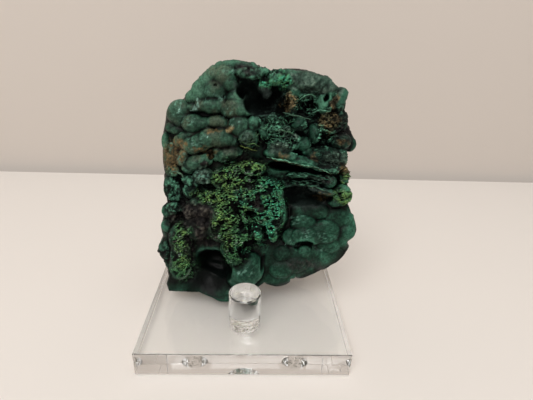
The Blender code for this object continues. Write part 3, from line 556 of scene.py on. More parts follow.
# Caves and pits: centre a, b, c and radii along a, b, c. Their walls wobble.
CAVES = [
    (7.5, 107.5, 6, 10.0, 8.4, 22), (-0.5, 112, 5, 6.0, 4.6, 16), (15.5, 104, 6, 4.6, 6, 16),
    (24, 73.0, 10, 15, 3.4, 18), (30, 58.6, 3, 14, 6.0, 16), (-17.6, 18.2, 3, 10.6, 9.6, 16),
    (-36.5, 64.5, 6, 4.0, 3.6, 8), (-35.5, 46.2, 6, 4.4, 3.0, 9), (30.5, 104.6, 8, 3.6, 2.6, 8),
    (19, 97.5, 9, 3.2, 2.8, 8), (8, 97, 9, 2.2, 1.8, 6), (34, 99, 8, 4.4, 2.2, 7), (-21, 62, 9, 6, 2.4, 8),
    (31.6, 29.2, 3, 6.0, 5.2, 6.4), (9.8, 19.5, 8, 2.4, 7, 8), (-18, 78.4, 7, 1.5, 1.6, 5),
    (-16.4, 112.9, 8, 1.0, 0.8, 2.4), (38.2, 108.4, 8, 1.5, 1.8, 5), (2, 48, 12, 3.6, 2.8, 9),
    (-1, 29, 11, 3.6, 5.5, 8), (3.2, 67.4, 12, 2.2, 1.6, 6), (10, 38, 12, 1.8, 5, 8),
]
# Growths that stand in or over the caves: the ring's core, hanging tongues and ledges.
LATE_GROWTHS = [
    (0.8, 0.60, [(31.8, 27.8, 1.6, 4.2, 3.6)]),
    (1.2, 0.90, [(7.6, 114.0, 6.4, 3.4, 3.6), (8.6, 110.6, 5.0, 2.2, 2.6), (13.0, 117.0, 7.8, 4.0, 3.2)]),
    (1.0, 0.90, [(2.0, 118.8, 9.0, 5.0, 2.3), (-3.0, 119.4, 9.0, 3.4, 2.3)]),
    (1.2, 0.90, [(14.0, 81.3, 14.0, 5.0, 2.4), (20.0, 79.6, 14.0, 5.0, 2.3), (26.0, 77.8, 13.5, 5.0, 2.1),
                 (32.0, 76.2, 13.0, 5.0, 2.1), (38.0, 74.8, 12.0, 5.0, 2.2), (43.5, 74.0, 10.0, 4.0, 3.0)]),
    (0.8, 0.90, [(25.0, 70.2, 8.4, 4.0, 1.4), (31.0, 70.0, 9.2, 4.0, 1.4), (37.0, 69.0, 9.2, 4.0, 1.5),
                 (40.4, 66.8, 9.0, 2.4, 1.8)]),
    (0.8, 0.90, [(31.0, 66.4, 5.4, 9.4, 2.0), (42.0, 67.0, 9.0, 3.8, 3.6)]),
    (0.8, 0.90, [(35.0, 63.4, 9.2, 3.0, 1.5), (39.0, 62.0, 10.0, 3.0, 1.5), (43.0, 61.2, 10.0, 3.0, 1.5)]),
]
SKIRT_FALL = 3.0
SKIRT = 0.4
OUT_OF_REACH = 1000.0
WOBBLE = 1.3
WOBBLE_CELL = 4.6


def ellipsoid_root(points, directions, centre, radii):
    """Distance along each direction to the ellipsoid's far side; beside it, a steep fall."""
    start = (points - centre) / radii
    slope = directions / radii
    square = (slope * slope).sum(axis=-1)
    half_linear = (start * slope).sum(axis=-1)
    inside_root = half_linear**2 - square * ((start * start).sum(axis=-1) - 1.0)
    root = np.where(inside_root > 0, 1.0, -SKIRT_FALL) * np.sqrt(np.abs(inside_root))
    near = inside_root > -SKIRT * square
    return np.where(near, (root - half_linear) / square, -OUT_OF_REACH)


def bud_ellipsoid(bud, fullness):
    """Centre and radii of a growth given by its crown."""
    a, b, crown, half_a, half_b = bud
    depth = fullness * 0.5 * (half_a + half_b)
    centre = np.array([a, b, 0.0]) + growth_direction(np.float64(a), np.float64(b)) * (crown - depth)
    return centre, np.array([half_a, half_b, depth])


def grow(points, directions, families):
    """Out to the outermost family; a family's reach is melt times ln(sum(exp(exit / melt)))."""
    reach = np.zeros(points.shape[:-1])
    for melt, fullness, buds in families:
        exits = [ellipsoid_root(points, directions, *bud_ellipsoid(bud, fullness)) for bud in buds]
        exits = np.stack(exits)
        top = exits.max(axis=0)
        joined = top + melt * np.log(np.exp((exits - top) / melt).sum(axis=0))
        reach = np.maximum(reach, joined)
    return points + directions * reach[..., None]


def wobbled(points):
    """Points shifted by smooth noise, so that what is measured from them gets wavy walls."""
    shift = [lattice_noise(points + offset, WOBBLE_CELL) for offset in (0.0, 40.0, 80.0)]
    return points + WOBBLE * np.stack(shift, axis=-1)


def hollow(points, directions, caves):
    """Pull the surface back to the floor of each cave it stands in."""
    for a, b, c, *radii in caves:
        centre = np.array([a, b, 0.0]) + growth_direction(np.float64(a), np.float64(b)) * c
        radii = np.array(radii)
        place = wobbled(points)
        inside = (((place - centre) / radii) ** 2).sum(axis=-1) < 1.0
        back = ellipsoid_root(place, -directions, centre, radii)
        points = points - directions * np.where(inside, back, 0.0)[..., None]
    return points


# %% the grown surface for any walk and angle
SQUARE_FROM = 0.93
SQUARE_SPAN = 0.07
SQUARE_AT_EDGE = 0.6
EARLY_GROWTHS = VELVET_BUDS + EDGE_LUMPS + CRUST_MOUNDS + BOWL_BUDS + MATRIX_LUMPS


def growth_lines(walk, angles, bare):
    """Towards the growth point on the front, partly square to the surface near its edge, and
    wholly square to it behind."""
    front = unit(growth_direction(bare[..., 0], bare[..., 1]))
    square_on = slab_normals(walk, angles)
    near_edge = np.clip((walk - SQUARE_FROM) / SQUARE_SPAN, 0, 1)
    mix = np.where(walk > 1.0, 1.0, near_edge * SQUARE_AT_EDGE)[..., None]
    return unit(front * (1 - mix) + square_on * mix)


def grown_surface(walk, angles):
    """Grown points, their growth lines and the place (a, b) where each is seen."""
    bare = slab_place(walk, angles)
    lines = growth_lines(walk, angles, bare)
    grown = grow(bare, lines, EARLY_GROWTHS)
    grown = hollow(grown, lines, CAVES)
    grown = grow(grown, lines, LATE_GROWTHS)
    seen = np.where((walk > 1.0)[..., None], bare[..., :2], datum(walk, angles))
    return grown, lines, seen


print("growths:", sum(len(buds) for _, _, buds in EARLY_GROWTHS + LATE_GROWTHS), "buds in",
      len(EARLY_GROWTHS + LATE_GROWTHS), "families,", len(CAVES), "caves")

# %% [markdown]
# ## Where each kind of surface lies
#
# The stone isn't the same all over. Smooth velvet buds fill the upper left, a porous mossy
# crust the middle, a smooth bowl the lower right, and crumbly brown and purple-black matrix
# breaks through at the edges. Each kind is a handful of soft ellipses on the slab, their
# borders made ragged by noise, so a map of the stone stays readable.

# %% the kinds, as ellipses: a, b, half width, half height
KIND_SPOTS = {
    "moss": [(1, 73, 9, 4.5), (-7, 67, 12, 7), (5, 63, 10, 8), (-14, 57, 10, 4.5), (-8, 50, 10, 10),
             (8, 51, 10, 11), (-10, 42, 9, 8), (5, 39, 9, 8), (-6, 28.5, 7.5, 9.5), (14, 60, 5, 7),
             (15.5, 45, 4.5, 11), (-22, 57.5, 7, 4), (-15, 40, 6, 8), (-9, 76, 4, 2), (-34, 34, 6.5, 11),
             (-34.5, 18.5, 7.2, 9.5), (50, 59.5, 5, 5), (50, 71, 2.4, 4.5), (16.6, 52, 3.8, 9.8),
             (9, 114.6, 4.4, 2.8), (16.6, 115.6, 3.6, 4.2)],
    "chaos": [(28, 97, 25, 17), (44, 77, 10, 8), (-37, 57, 7, 18), (-25, 65, 8, 6), (3, 118.4, 12, 4),
              (30, 67, 16, 5), (-1, 85, 5, 4), (-43, 28, 4, 8)],
    "web": [(14.4, 92.2, 10, 6.9), (28, 105, 8, 4.5), (41, 97, 7, 6), (-1, 85, 5, 3.6), (38, 88, 6, 4),
            (12, 117, 5, 3.4)],
    "smooth": [(24.8, 95.2, 3.2, 2.6), (32.0, 91.4, 3.2, 4.2), (22.8, 110.9, 2.4, 2.0),
               (36.6, 106.9, 3.4, 4.2), (28, 86, 2.8, 2.8), (30.4, 82.2, 2.6, 2.2), (45, 108.5, 3.2, 4.6),
               (6.4, 92.0, 3.0, 3.0)],
    "cup": [(36.2, 106.6, 3.2, 4.2)],
    "velvet": [(-20, 100, 26, 27), (-25, 78, 20, 9), (-6, 82, 8, 6)],
    # The two lists below are painted highlights: fine speckled glints and bright glints on bud crests that
    # face the light, and on the bowl.
    "speckled_highlight": [(-35.0, 103.0, 2.6, 3.6), (-28.4, 96.0, 3.4, 2.2), (-20.6, 88.6, 2.6, 1.4),
              (-28.6, 85.0, 2.0, 3.2), (-22.6, 107.6, 3.0, 2.2), (-14.6, 108.8, 2.4, 1.4),
              (-10.4, 101.8, 3.4, 2.6), (-24.0, 86.6, 2.4, 2.0), (-25.0, 68.0, 4.0, 3.4),
              (-8.0, 95.6, 3.0, 2.0), (-39.6, 84.0, 1.6, 2.6), (-33.4, 77.0, 1.8, 2.2), (27, 46, 4, 2),
              (35, 38, 4.4, 1.8), (44, 37, 3, 2.4), (24, 33, 3, 2), (38, 30, 3, 1.4), (2, 16, 3, 3),
              (-9, 119.5, 3, 1.6)],
    "glint": [(-25.6, 104.6, 0.7, 1.1), (-24.7, 103.2, 0.7, 0.8), (-26.4, 102.4, 1.4, 0.5),
              (-34.6, 102.4, 0.6, 0.8), (-20.4, 88.9, 0.7, 0.4), (-28.8, 84.0, 0.5, 0.7),
              (-2.3, 16.2, 0.8, 1.3)],
    "bowl": [(38, 40, 22, 18), (24, 24, 14, 13), (30, 52, 14, 5), (0, 14, 10, 8)],
    # cave: the lower cave, painted in near-black shade.
    "cave": [(-20, 13, 12, 12.5)],
    "hole": [(7, 107.5, 10.5, 8.5), (-1, 112, 6, 4.4), (30, 58.5, 14, 6)],
    "yellow": [(1, 74, 9, 3.0), (-12, 67, 6, 5), (-35, 24, 4, 6), (-18, 57.5, 10, 4), (-14, 45, 7, 7),
               (-9, 33, 4, 5), (-34, 33, 3, 9), (50, 60, 5, 4), (50, 71, 3, 5), (2, 51, 4, 2),
               (-5, 62, 6, 5)],
    "teal": [(10, 53, 8, 8), (12, 66, 5, 6), (13, 42, 4, 8), (5, 40, 4, 4), (10, 30, 4, 8), (-3, 58, 4, 4),
             (-2, 26, 2, 2.4), (2, 13.5, 1.6, 2.4), (-8.5, 76.2, 3.6, 1.4), (9, 114.6, 5, 3),
             (16.6, 115.6, 4, 4.6), (17, 52, 3, 10)],
    "soot": [(-25, 44, 7, 9), (-21, 51, 8, 3.6), (-5, 77, 6, 2.2), (-27, 36, 6, 6), (-30, 48, 5, 7),
             (-38, 45, 4, 3), (-39, 33, 2.4, 8), (-22, 74, 2, 1.6), (-20, 33, 9, 3.6)],
    "purple": [(50.3, 97, 2.4, 7), (-2, 120, 5, 3), (47, 91, 4, 3), (27, 20, 5, 3.4), (42, 68, 3, 3),
               (5, 54, 3, 4), (36, 22, 5, 2.4), (-31, 30, 2.4, 8), (-33, 44, 4, 4)],
    # dim: spots made half as bright, partly painted shade in and around caves and under ledges.
    "dim": [(-43.5, 28, 4, 11), (-22, 5, 16, 6.4), (20, 25, 8, 6), (-19.5, 26, 10.5, 4.6),
            (38, 53, 16, 4.6), (46, 100, 6, 9), (30, 105, 5, 3), (-37.6, 92.6, 4.6, 3.2), (-6, 84, 8, 3),
            (24.8, 95.2, 4, 3), (32, 91.4, 4, 4.6), (-20, 29.6, 9.4, 4.2), (-4, 22, 7.4, 5),
            (-36.4, 99.6, 6, 4), (47.5, 88.6, 5, 3.6), (-19.6, 22, 6, 6)],
    "rust": [(-38, 78.5, 5, 8), (-18, 79.4, 2, 2), (17.4, 79.0, 3.6, 1.3), (39, 58.8, 5, 1.4),
             (-35, 84, 2.6, 3), (-23, 81.5, 8, 0.8), (-17, 91, 4, 0.8), (47.6, 89.1, 1.0, 0.7)],
    "brown": [(20.0, 106.0, 3.1, 4.4), (41.2, 97.8, 5.5, 4.4), (41.8, 106.3, 1.6, 3.2),
              (47.9, 88.8, 2.6, 1.5), (33.5, 79.3, 2.0, 2.0), (49, 74, 2, 3), (-10, 93.4, 1.6, 1.4)],
    "grey": [(15.2, 83.2, 5.6, 3.4), (28, 116.5, 12, 5), (39, 113, 6, 3.4), (45, 79, 6, 4), (20, 91, 5, 3),
             (-23, 68, 5, 5), (38, 68, 6, 2.2), (0, 88.4, 4, 4), (-20, 36, 3, 3), (-7, 26, 4, 4)],
}
SOFTNESS = {"yellow": 0.6, "teal": 0.6, "dim": 0.5, "soot": 0.4, "purple": 0.4, "speckled_highlight": 0.6}
BORDER = 0.25


def spots_share(spots, place, soft):
    """1 inside any ellipse, 0 outside, over a border of twice the softness."""
    share = np.zeros(place.shape[:-1])
    for a, b, half_a, half_b in spots:
        away = np.hypot((place[..., 0] - a) / half_a, (place[..., 1] - b) / half_b)
        share = np.maximum(share, np.clip((1.0 + soft - away) / (2 * soft), 0, 1))
    return share


def kinds_of(seen, grown, walk):
    """How much of each kind there is at every point, each from 0 to 1."""
    drift = [1.9 * lattice_noise(grown, 5.0, seed) + 1.3 * lattice_noise(grown, 1.7, seed + 1)
             for seed in (11, 13)]
    place = seen + np.stack(drift, -1)
    front = np.clip((1.04 - walk) / 0.05, 0, 1)
    kinds = {name: spots_share(spots, place, SOFTNESS.get(name, BORDER)) * front
             for name, spots in KIND_SPOTS.items()}
    kinds["chaos"] = np.maximum(kinds["chaos"], 0.8 * kinds["soot"]) * (1 - kinds["moss"])
    kinds["chaos"] = kinds["chaos"] * (1 - 0.85 * kinds["smooth"])
    kinds["velvet"] = kinds["velvet"] * (1 - kinds["moss"]) * (1 - kinds["chaos"])
    kinds["behind"] = np.clip((walk - 1.0) / 0.10, 0, 1)
    return kinds


print("kinds:", ", ".join(KIND_SPOTS))

# %% [markdown]
# ## Fine relief
#
# The kinds of surface differ most in their grain. The moss crust is a maze of low ridges
# with deep pits between them: where a smooth noise crosses zero there is a ridge, and far
# from zero there is a pit. The crumbly areas are small round buds on small round buds, cut
# by folds. The velvet and the bowl only undulate, and the broken back is coarse.

# %% relief of every kind, in millimetres
COMB_TURN = np.radians(20)
COMB_SQUEEZE = 0.6


def combed(points):
    """Points squeezed along the way the filaments run, so that noise is longer that way."""
    along = np.cos(COMB_TURN) * points[..., 0] + np.sin(COMB_TURN) * points[..., 1]
    across = np.cos(COMB_TURN) * points[..., 1] - np.sin(COMB_TURN) * points[..., 0]
    return np.stack([COMB_SQUEEZE * along, across, points[..., 2]], -1)


def moss_relief(grown):
    """Winding filaments, torn open by gaps; and how bright each place in them is painted: light on the ridges
    as painted highlight, dark in the gaps as painted shade.
    """
    strands = combed(grown)
    gaps = np.clip(2.4 * (layered_noise(strands, 2.6, 2, seed=25) - 0.10), 0, 1)
    lines_here = winding_ridges(strands, 1.0, 0.44, seed=21) - 1.6 * gaps
    grain = layered_noise(grown, 0.7, 2, seed=31)
    height = 1.1 * np.clip(lines_here, -1.8, 1) + 0.45 * grain
    return height, np.clip(0.33 + 0.55 * lines_here + 0.30 * grain, 0, 1)


def chaos_relief(grown, web):
    """Small buds on buds cut by folds, or thin winding ridges over gaps where it is a web."""
    big = small_domes(grown, 4.6, 0.64, seed=41)
    small = small_domes(grown, 1.9, 0.62, seed=51)
    folds = winding_ridges(grown, 3.4, 0.8, seed=56)
    crumb = layered_noise(grown, 1.5, 3, seed=61)
    strings = winding_ridges(grown, 1.7, 0.34, seed=64)
    buds = 2.3 * big + 1.0 * small + 0.8 * np.clip(folds, -1, 1) + 0.5 * crumb - 1.3
    strung = 1.7 * big + 1.3 * np.clip(strings, -1, 1) + 0.6 * crumb - 1.2
    # Painted light: the tops of the small buds and strings are lighter, and folds and gaps are darker.
    bud_light = 0.02 + 0.55 * big + 0.45 * small + 0.2 * np.clip(folds, -1, 1) + 0.2 * crumb
    strung_light = 0.16 + 0.35 * big + 0.5 * np.clip(strings, -0.6, 1) + 0.25 * crumb
    height = buds + (strung - buds) * web
    light = bud_light + (strung_light - bud_light) * web
    return height, np.clip(light, 0, 1), crumb


def relief_of(grown, kinds):
    """Height to add along the growth lines, and how high each point stands in its own grain, from which its
    painted light and shade are picked.
    """
    crust, crust_signal = moss_relief(grown)
    chaos, chaos_signal, crumb = chaos_relief(grown, kinds["web"])
    swell = layered_noise(grown, 6.0, 3, seed=71)
    velvet = 0.16 * swell + 0.07 * layered_noise(grown, 1.1, 2, seed=75)
    matrix = 1.5 * lattice_noise(grown, 11.0, 81) + 0.9 * layered_noise(grown, 4.5, 4, seed=83)
    moss_share, chaos_share, behind = kinds["moss"], kinds["chaos"], kinds["behind"]
    smooth_share = 1 - np.maximum(moss_share, chaos_share)
    height = velvet * smooth_share + crust * moss_share + chaos * chaos_share
    rough = np.maximum(np.maximum(kinds["soot"], kinds["brown"]), kinds["grey"]) * (1 - chaos_share)
    height = height + 0.7 * crumb * rough * (1 - moss_share)
    height = height * (1 - behind) + matrix * behind
    signals = {"crust": crust_signal, "chaos": chaos_signal, "crumb": np.clip(0.5 + 0.45 * crumb, 0, 1)}
    return height, signals


# %% how far each point stands out of its neighbourhood
def window_mean(grid, reach):
    """Mean over a square window of 2 reach + 1 steps, taken twice."""
    for axis in (0, 1, 0, 1):
        padding = [(0, 0), (0, 0)]
        padding[axis] = (reach + 1, reach)
        total = np.cumsum(np.pad(grid, padding, mode="edge"), axis=axis)
        ahead = np.take(total, np.arange(2 * reach + 1, total.shape[axis]), axis=axis)
        behind = np.take(total, np.arange(0, total.shape[axis] - 2 * reach - 1), axis=axis)
        grid = (ahead - behind) / (2 * reach + 1)
    return grid


WIDE_REACH = 2.6
NEAR_REACH = 0.7
WIDE_LIMIT = 4.0
NEAR_LIMIT = 1.5


def standing_out(grown_c, step):
    """Height above the mean within the wide reach, and above that within the near reach."""
    wide = grown_c - window_mean(grown_c, max(1, round(WIDE_REACH / step)))
    near = grown_c - window_mean(grown_c, max(1, round(NEAR_REACH / step)))
    return np.clip(wide, -WIDE_LIMIT, WIDE_LIMIT), np.clip(near, -NEAR_LIMIT, NEAR_LIMIT)


print("relief ready")

# %% [markdown]
# ## Colour that follows the growth, with painted light and shade
#
# Each kind of surface has three colours: a dark one for its crevices, which is painted shade,
# one for its faces and a light one for its crests, which is painted highlight. How far a point
# stands out of its neighbourhood picks between them, and the maps above mix the kinds. The
# result is stored on each mesh as a colour attribute, so it stays with the surface from every
# side. Finer mottling is left to the material.

# %% three tones for each kind: crevice (painted shade), face and crest (painted highlight), as they look on screen
TONES = {
    "bowl": ((5, 14, 9), (22, 54, 40), (60, 110, 88)),
    "velvet": ((7, 15, 11), (30, 56, 43), (66, 104, 83)),
    "green_crust": ((3, 4, 3), (24, 50, 32), (74, 124, 80)),
    "yellow_crust": ((4, 5, 3), (43, 63, 34), (102, 136, 76)),
    "teal_crust": ((3, 6, 5), (24, 56, 42), (66, 150, 116)),
    "chaos": ((2, 3, 3), (19, 38, 30), (84, 138, 112)),
    "grey": ((10, 15, 12), (50, 68, 58), (112, 130, 116)),
    "brown": ((12, 10, 8), (74, 66, 48), (148, 130, 92)),
    "rust": ((42, 34, 22), (88, 74, 48), (122, 102, 68)),
    "soot": ((5, 4, 5), (30, 27, 26), (88, 84, 76)),
    "purple": ((6, 6, 7), (30, 27, 28), (70, 64, 62)),
    "cup": ((12, 24, 18), (40, 74, 58), (78, 132, 106)),
    # cave: near-black tones, painted shade for the lower cave.
    "cave": ((3, 5, 5), (6, 12, 10), (14, 26, 21)),
    "hole": ((34, 42, 42), (48, 60, 56), (66, 84, 74)),
    "matrix": ((14, 11, 9), (46, 38, 30), (82, 68, 52)),
    "behind_green": ((9, 16, 12), (32, 56, 44), (66, 102, 82)),
}
# Thin colours that lie over the tones: dust, rust in creases, grey specks, and the painted highlights,
# speckled glints and bright glints.
UMBER = (66, 66, 52)
CREASE_RUST = (58, 46, 30)
GREY_SPECK = (92, 108, 98)
SPECKLED_HIGHLIGHT = (98, 142, 124)
GLINT = (150, 196, 180)


def three_tones(signal, name):
    """Crevice to face to crest colour, from painted shade to painted highlight, as the signal runs from 0
    through one half to 1.
    """
    low, middle, high = (linear(*tone) for tone in TONES[name])
    signal = np.clip(signal, 0, 1)[..., None]
    lower = low + (middle - low) * np.clip(signal * 2, 0, 1)
    return np.where(signal > 0.5, middle + (high - middle) * (signal * 2 - 1), lower)


def lay(under, over, amount):
    """One tone over another: under + (over - under) * amount."""
    return under + (over - under) * np.clip(amount, 0, 1)[..., None]


def crust_tone(grown, kinds, signals, wide, fleck):
    """Green filaments, each stretch of them leaning to yellow, teal or grey by its own number."""
    _, speck = nearest_seed(combed(grown), 1.1, seed=111)
    _, clump = nearest_seed(grown, 3.4, seed=114)
    # Painted light: the crust is lighter on its ridges and crests and darker in its pits, and its grey specks
    # follow that light.
    light = signals["crust"] + 0.11 * wide + 0.30 * (speck - 0.5) + 0.22 * (clump - 0.5)
    crust = three_tones(light, "green_crust")
    crust = lay(crust, three_tones(light, "yellow_crust"), kinds["yellow"] * (1.8 * speck - 0.1 + fleck))
    crust = lay(crust, three_tones(light, "teal_crust"), kinds["teal"] * (1.7 - 1.6 * speck + fleck))
    crust = lay(crust, linear(*GREY_SPECK) * light[..., None], 4.0 * (clump * speck - 0.62))
    return lay(crust, three_tones(light, "soot"), 0.75 * kinds["soot"] + 3.0 * (0.16 - speck))


def velvet_tone(grown, smooth, wide, fleck):
    """Green silk, dusty with umber in soft patches, rusty in some of its creases."""
    tone = three_tones(smooth, "velvet")
    dust = np.clip(2.2 * (layered_noise(grown, 8.0, 3, seed=98) - 0.02), 0, 1)
    settled = 0.55 * dust * np.clip(0.8 + 1.2 * fleck, 0, 1)
    # The umber dust is scaled by the painted crest light: lighter on crests, darker in crevices.
    tone = lay(tone, linear(*UMBER) * (0.5 + smooth)[..., None], settled)
    rusty = np.clip(3 * lattice_noise(grown, 9.0, 104), 0, 1) * np.clip(-0.8 * wide - 0.35, 0, 1)
    return lay(tone, linear(*CREASE_RUST), 0.7 * rusty)


def tone_of(grown, kinds, signals, wide, near):
    """The kinds' colours laid over each other, from the smooth ground up to the crust, with painted shade in
    crevices and painted highlight on crests.
    """
    mottle = 0.5 * layered_noise(grown, 6.0, 3, seed=91)
    fleck = 0.5 * layered_noise(grown, 1.1, 2, seed=95)
    # Painted light: what stands out of its neighbourhood is made lighter and what sinks darker, and crevices
    # are darkened further as painted shade, except in the cave and, in part, the holes.
    painted_crest_light = 0.5 + 0.10 * wide + 0.22 * near
    painted_crease_shade = np.clip(1.0 + 0.34 * np.minimum(wide, 0) + 0.9 * np.minimum(near, 0), 0.10, 1)
    painted_crease_shade = np.maximum(painted_crease_shade, np.maximum(kinds["cave"], 0.4 * kinds["hole"]))
    smooth = painted_crest_light + 0.34 * mottle + 0.34 * fleck
    tone = three_tones(smooth - 0.04, "bowl")
    tone = lay(tone, velvet_tone(grown, smooth, wide, fleck), kinds["velvet"])
    tone = lay(tone, three_tones(signals["chaos"] + 0.06 * wide + 0.3 * fleck, "chaos"), kinds["chaos"])
    grey = 0.6 * signals["chaos"] + 0.20 + 0.6 * fleck
    tone = lay(tone, three_tones(grey, "grey"), kinds["grey"] * 0.85)
    # Painted shade: the lower cave takes near-black tones.
    tone = lay(tone, three_tones(painted_crest_light - 0.1 + 0.4 * mottle, "cave"), kinds["cave"])
    tone = lay(tone, three_tones(0.4 + 0.4 * mottle, "hole"), kinds["hole"])
    tone = lay(tone, three_tones(smooth + 0.05, "cup"), kinds["cup"] * (1 - kinds["hole"]))
    tone = tone * painted_crease_shade[..., None]
    tone = lay(tone, crust_tone(grown, kinds, signals, wide, fleck), kinds["moss"])
    char = 0.6 * signals["chaos"] + 0.6 * signals["crumb"] - 0.12
    tone = lay(tone, three_tones(char + 0.05 * wide, "soot"), kinds["soot"] * (1 - kinds["moss"]))
    tone = lay(tone, three_tones(signals["crumb"], "purple"), kinds["purple"] * 0.7)
    umber = 0.6 * signals["chaos"] + 0.5 * signals["crumb"] + 0.05 + 0.5 * fleck
    tone = lay(tone, three_tones(umber, "brown"), kinds["brown"] * np.clip(0.95 + fleck, 0, 1))
    tone = lay(tone, three_tones(0.45 + 0.8 * fleck + 0.05 * wide, "rust"),
               kinds["rust"] * np.clip(0.75 + 1.5 * fleck, 0, 1))
    # Painted shade in part: each dim spot halves the tone, and several lie in and around caves and below
    # ledges.
    tone = tone * (1 - 0.5 * kinds["dim"])[..., None]
    # Painted highlights: fine speckled glints and bright glints laid on as pale colour.
    spark = np.clip(3 * (layered_noise(combed(grown), 0.8, 2, 107) - 0.22), 0, 1)
    tone = lay(tone, linear(*SPECKLED_HIGHLIGHT), 0.8 * kinds["speckled_highlight"] * spark)
    tone = lay(tone, linear(*GLINT), kinds["glint"] * np.clip(0.3 + 0.8 * spark, 0, 1))
    patch = np.clip(2.5 * (layered_noise(grown, 14.0, 3, seed=101) + 0.05), 0, 1)
    rough = 0.5 + 0.4 * layered_noise(grown, 3.0, 4, seed=97)
    back = lay(three_tones(rough, "matrix"), three_tones(rough, "behind_green"), patch)
    return lay(tone, back, kinds["behind"])


def store_tone(mesh, tone, share):
    """The colour, painted light and shade included, and the share of rough grain, kept on the mesh's points.
    """
    stored = np.concatenate([np.clip(tone, 0, 1), np.ones((len(tone), 1))], axis=1)
    layer = mesh.color_attributes.new("growth_tone_and_painted_light", "FLOAT_COLOR", "POINT")
    layer.data.foreach_set("color", stored.astype(np.float32).ravel())
    grain = mesh.attributes.new("grain_share", "FLOAT", "POINT")
    grain.data.foreach_set("value", share.astype(np.float32))


print("tones for", len(TONES), "kinds")

# %% [markdown]
# ## The stone's finish
#
# Botryoidal malachite has a soft, silky shine on its smooth buds and none on its crumbly
# parts. The colour comes from the mesh; fine noise mottles it, roughens the light and gives
# the last grain that is too small to model.

# %% stone finish
def mottling_group():
    """A shader group: noise in object space, as a brightness factor and a height."""
    group = bpy.data.node_groups.new("fine_mottling", "ShaderNodeTree")
    group.interface.new_socket("Factor", in_out="OUTPUT", socket_type="NodeSocketFloat")
    group.interface.new_socket("Height", in_out="OUTPUT", socket_type="NodeSocketFloat")
    nodes, links = group.nodes, group.links
    result = nodes.new("NodeGroupOutput")
    place = nodes.new("ShaderNodeTexCoord")
    fine = nodes.new("ShaderNodeTexNoise")
    fine.inputs["Scale"].default_value = 1100.0
    fine.inputs["Detail"].default_value = 4.0
    fine.inputs["Roughness"].default_value = 0.6
    spread = nodes.new("ShaderNodeMapRange")
    spread.inputs["From Min"].default_value = 0.32
    spread.inputs["From Max"].default_value = 0.68
    spread.inputs["To Min"].default_value = 0.55
    spread.inputs["To Max"].default_value = 1.5
    links.new(place.outputs["Object"], fine.inputs["Vector"])
    links.new(fine.outputs["Fac"], spread.inputs["Value"])
    links.new(spread.outputs["Result"], result.inputs["Factor"])
    links.new(fine.outputs["Fac"], result.inputs["Height"])
    return group


def stone_finish(name, mottling, silk_roughness, bump_distance):
    """Colour from the mesh times the mottling; the more grain, the rougher."""
    finish = bpy.data.materials.new(name)
    finish.use_nodes = True
    nodes, links = finish.node_tree.nodes, finish.node_tree.links
    surface = nodes["Principled BSDF"]
    tone = nodes.new("ShaderNodeAttribute")
    tone.attribute_name = "growth_tone_and_painted_light"
    share = nodes.new("ShaderNodeAttribute")
    share.attribute_name = "grain_share"
    fine = nodes.new("ShaderNodeGroup")
    fine.node_tree = mottling
    tinted = nodes.new("ShaderNodeMix")
    tinted.data_type = "RGBA"
    tinted.blend_type = "MULTIPLY"
    tinted.inputs["Factor"].default_value = 1.0
    links.new(tone.outputs["Color"], tinted.inputs["A"])
    links.new(fine.outputs["Factor"], tinted.inputs["B"])
    links.new(tinted.outputs["Result"], surface.inputs["Base Color"])
    bump = nodes.new("ShaderNodeBump")
    bump.inputs["Distance"].default_value = bump_distance
    bump.inputs["Strength"].default_value = 0.5
    links.new(fine.outputs["Height"], bump.inputs["Height"])
    links.new(bump.outputs["Normal"], surface.inputs["Normal"])
    rough = nodes.new("ShaderNodeMapRange")
    rough.inputs["To Min"].default_value = silk_roughness
    rough.inputs["To Max"].default_value = 0.62
    links.new(share.outputs["Fac"], rough.inputs["Value"])
    links.new(rough.outputs["Result"], surface.inputs["Roughness"])
    surface.inputs["IOR"].default_value = 1.6
    surface.inputs["Specular IOR Level"].default_value = 0.10
    return finish


mottling = mottling_group()
malachite = stone_finish("malachite", mottling, 0.46, 0.0003)
print("finish:", malachite.name)

# %% [markdown]
# ## The body of the stone
#
# One closed mesh carries the whole stone. Its front is a square grid bent to a disc, so that
# the points lie evenly there; from the disc's rim, rings run over the edge and across the
# back to a single point. Where a finer patch will lie on it, the body is sunk a little, so
# the patch's pits have depth.

# %% the grid: a square for the front, rings of the square's rim for the back
FRONT_HALF = 120
FRONT_WIDTH = 110.0
BACK_RINGS = 40


def square_to_disc(half):
    """A square grid bent to a disc: each square ring becomes a circle of the same steps."""
    line = np.arange(-half, half + 1) / half
    u, v = np.meshgrid(line, line, indexing="ij")
    wide = np.abs(u) >= np.abs(v)
    walk = np.where(wide, np.abs(u), np.abs(v))
    safe_u = np.where(u == 0, 1.0, u)
    safe_v = np.where(v == 0, 1.0, v)
    sideways = 0.25 * np.pi * v / safe_u + np.where(u < 0, np.pi, 0.0)
    upright = 0.5 * np.pi - 0.25 * np.pi * u / safe_v + np.where(v < 0, np.pi, 0.0)
    return walk, np.where(wide, sideways, upright)


def rim_indices(half):
    """The square's rim as one anticlockwise loop of vertex numbers, from the lower right corner."""
    side = 2 * half + 1
    number = np.arange(side * side).reshape(side, side)
    return np.concatenate([number[-1, :-1], number[::-1, -1][:-1], number[0, ::-1][:-1], number[:-1, 0]])


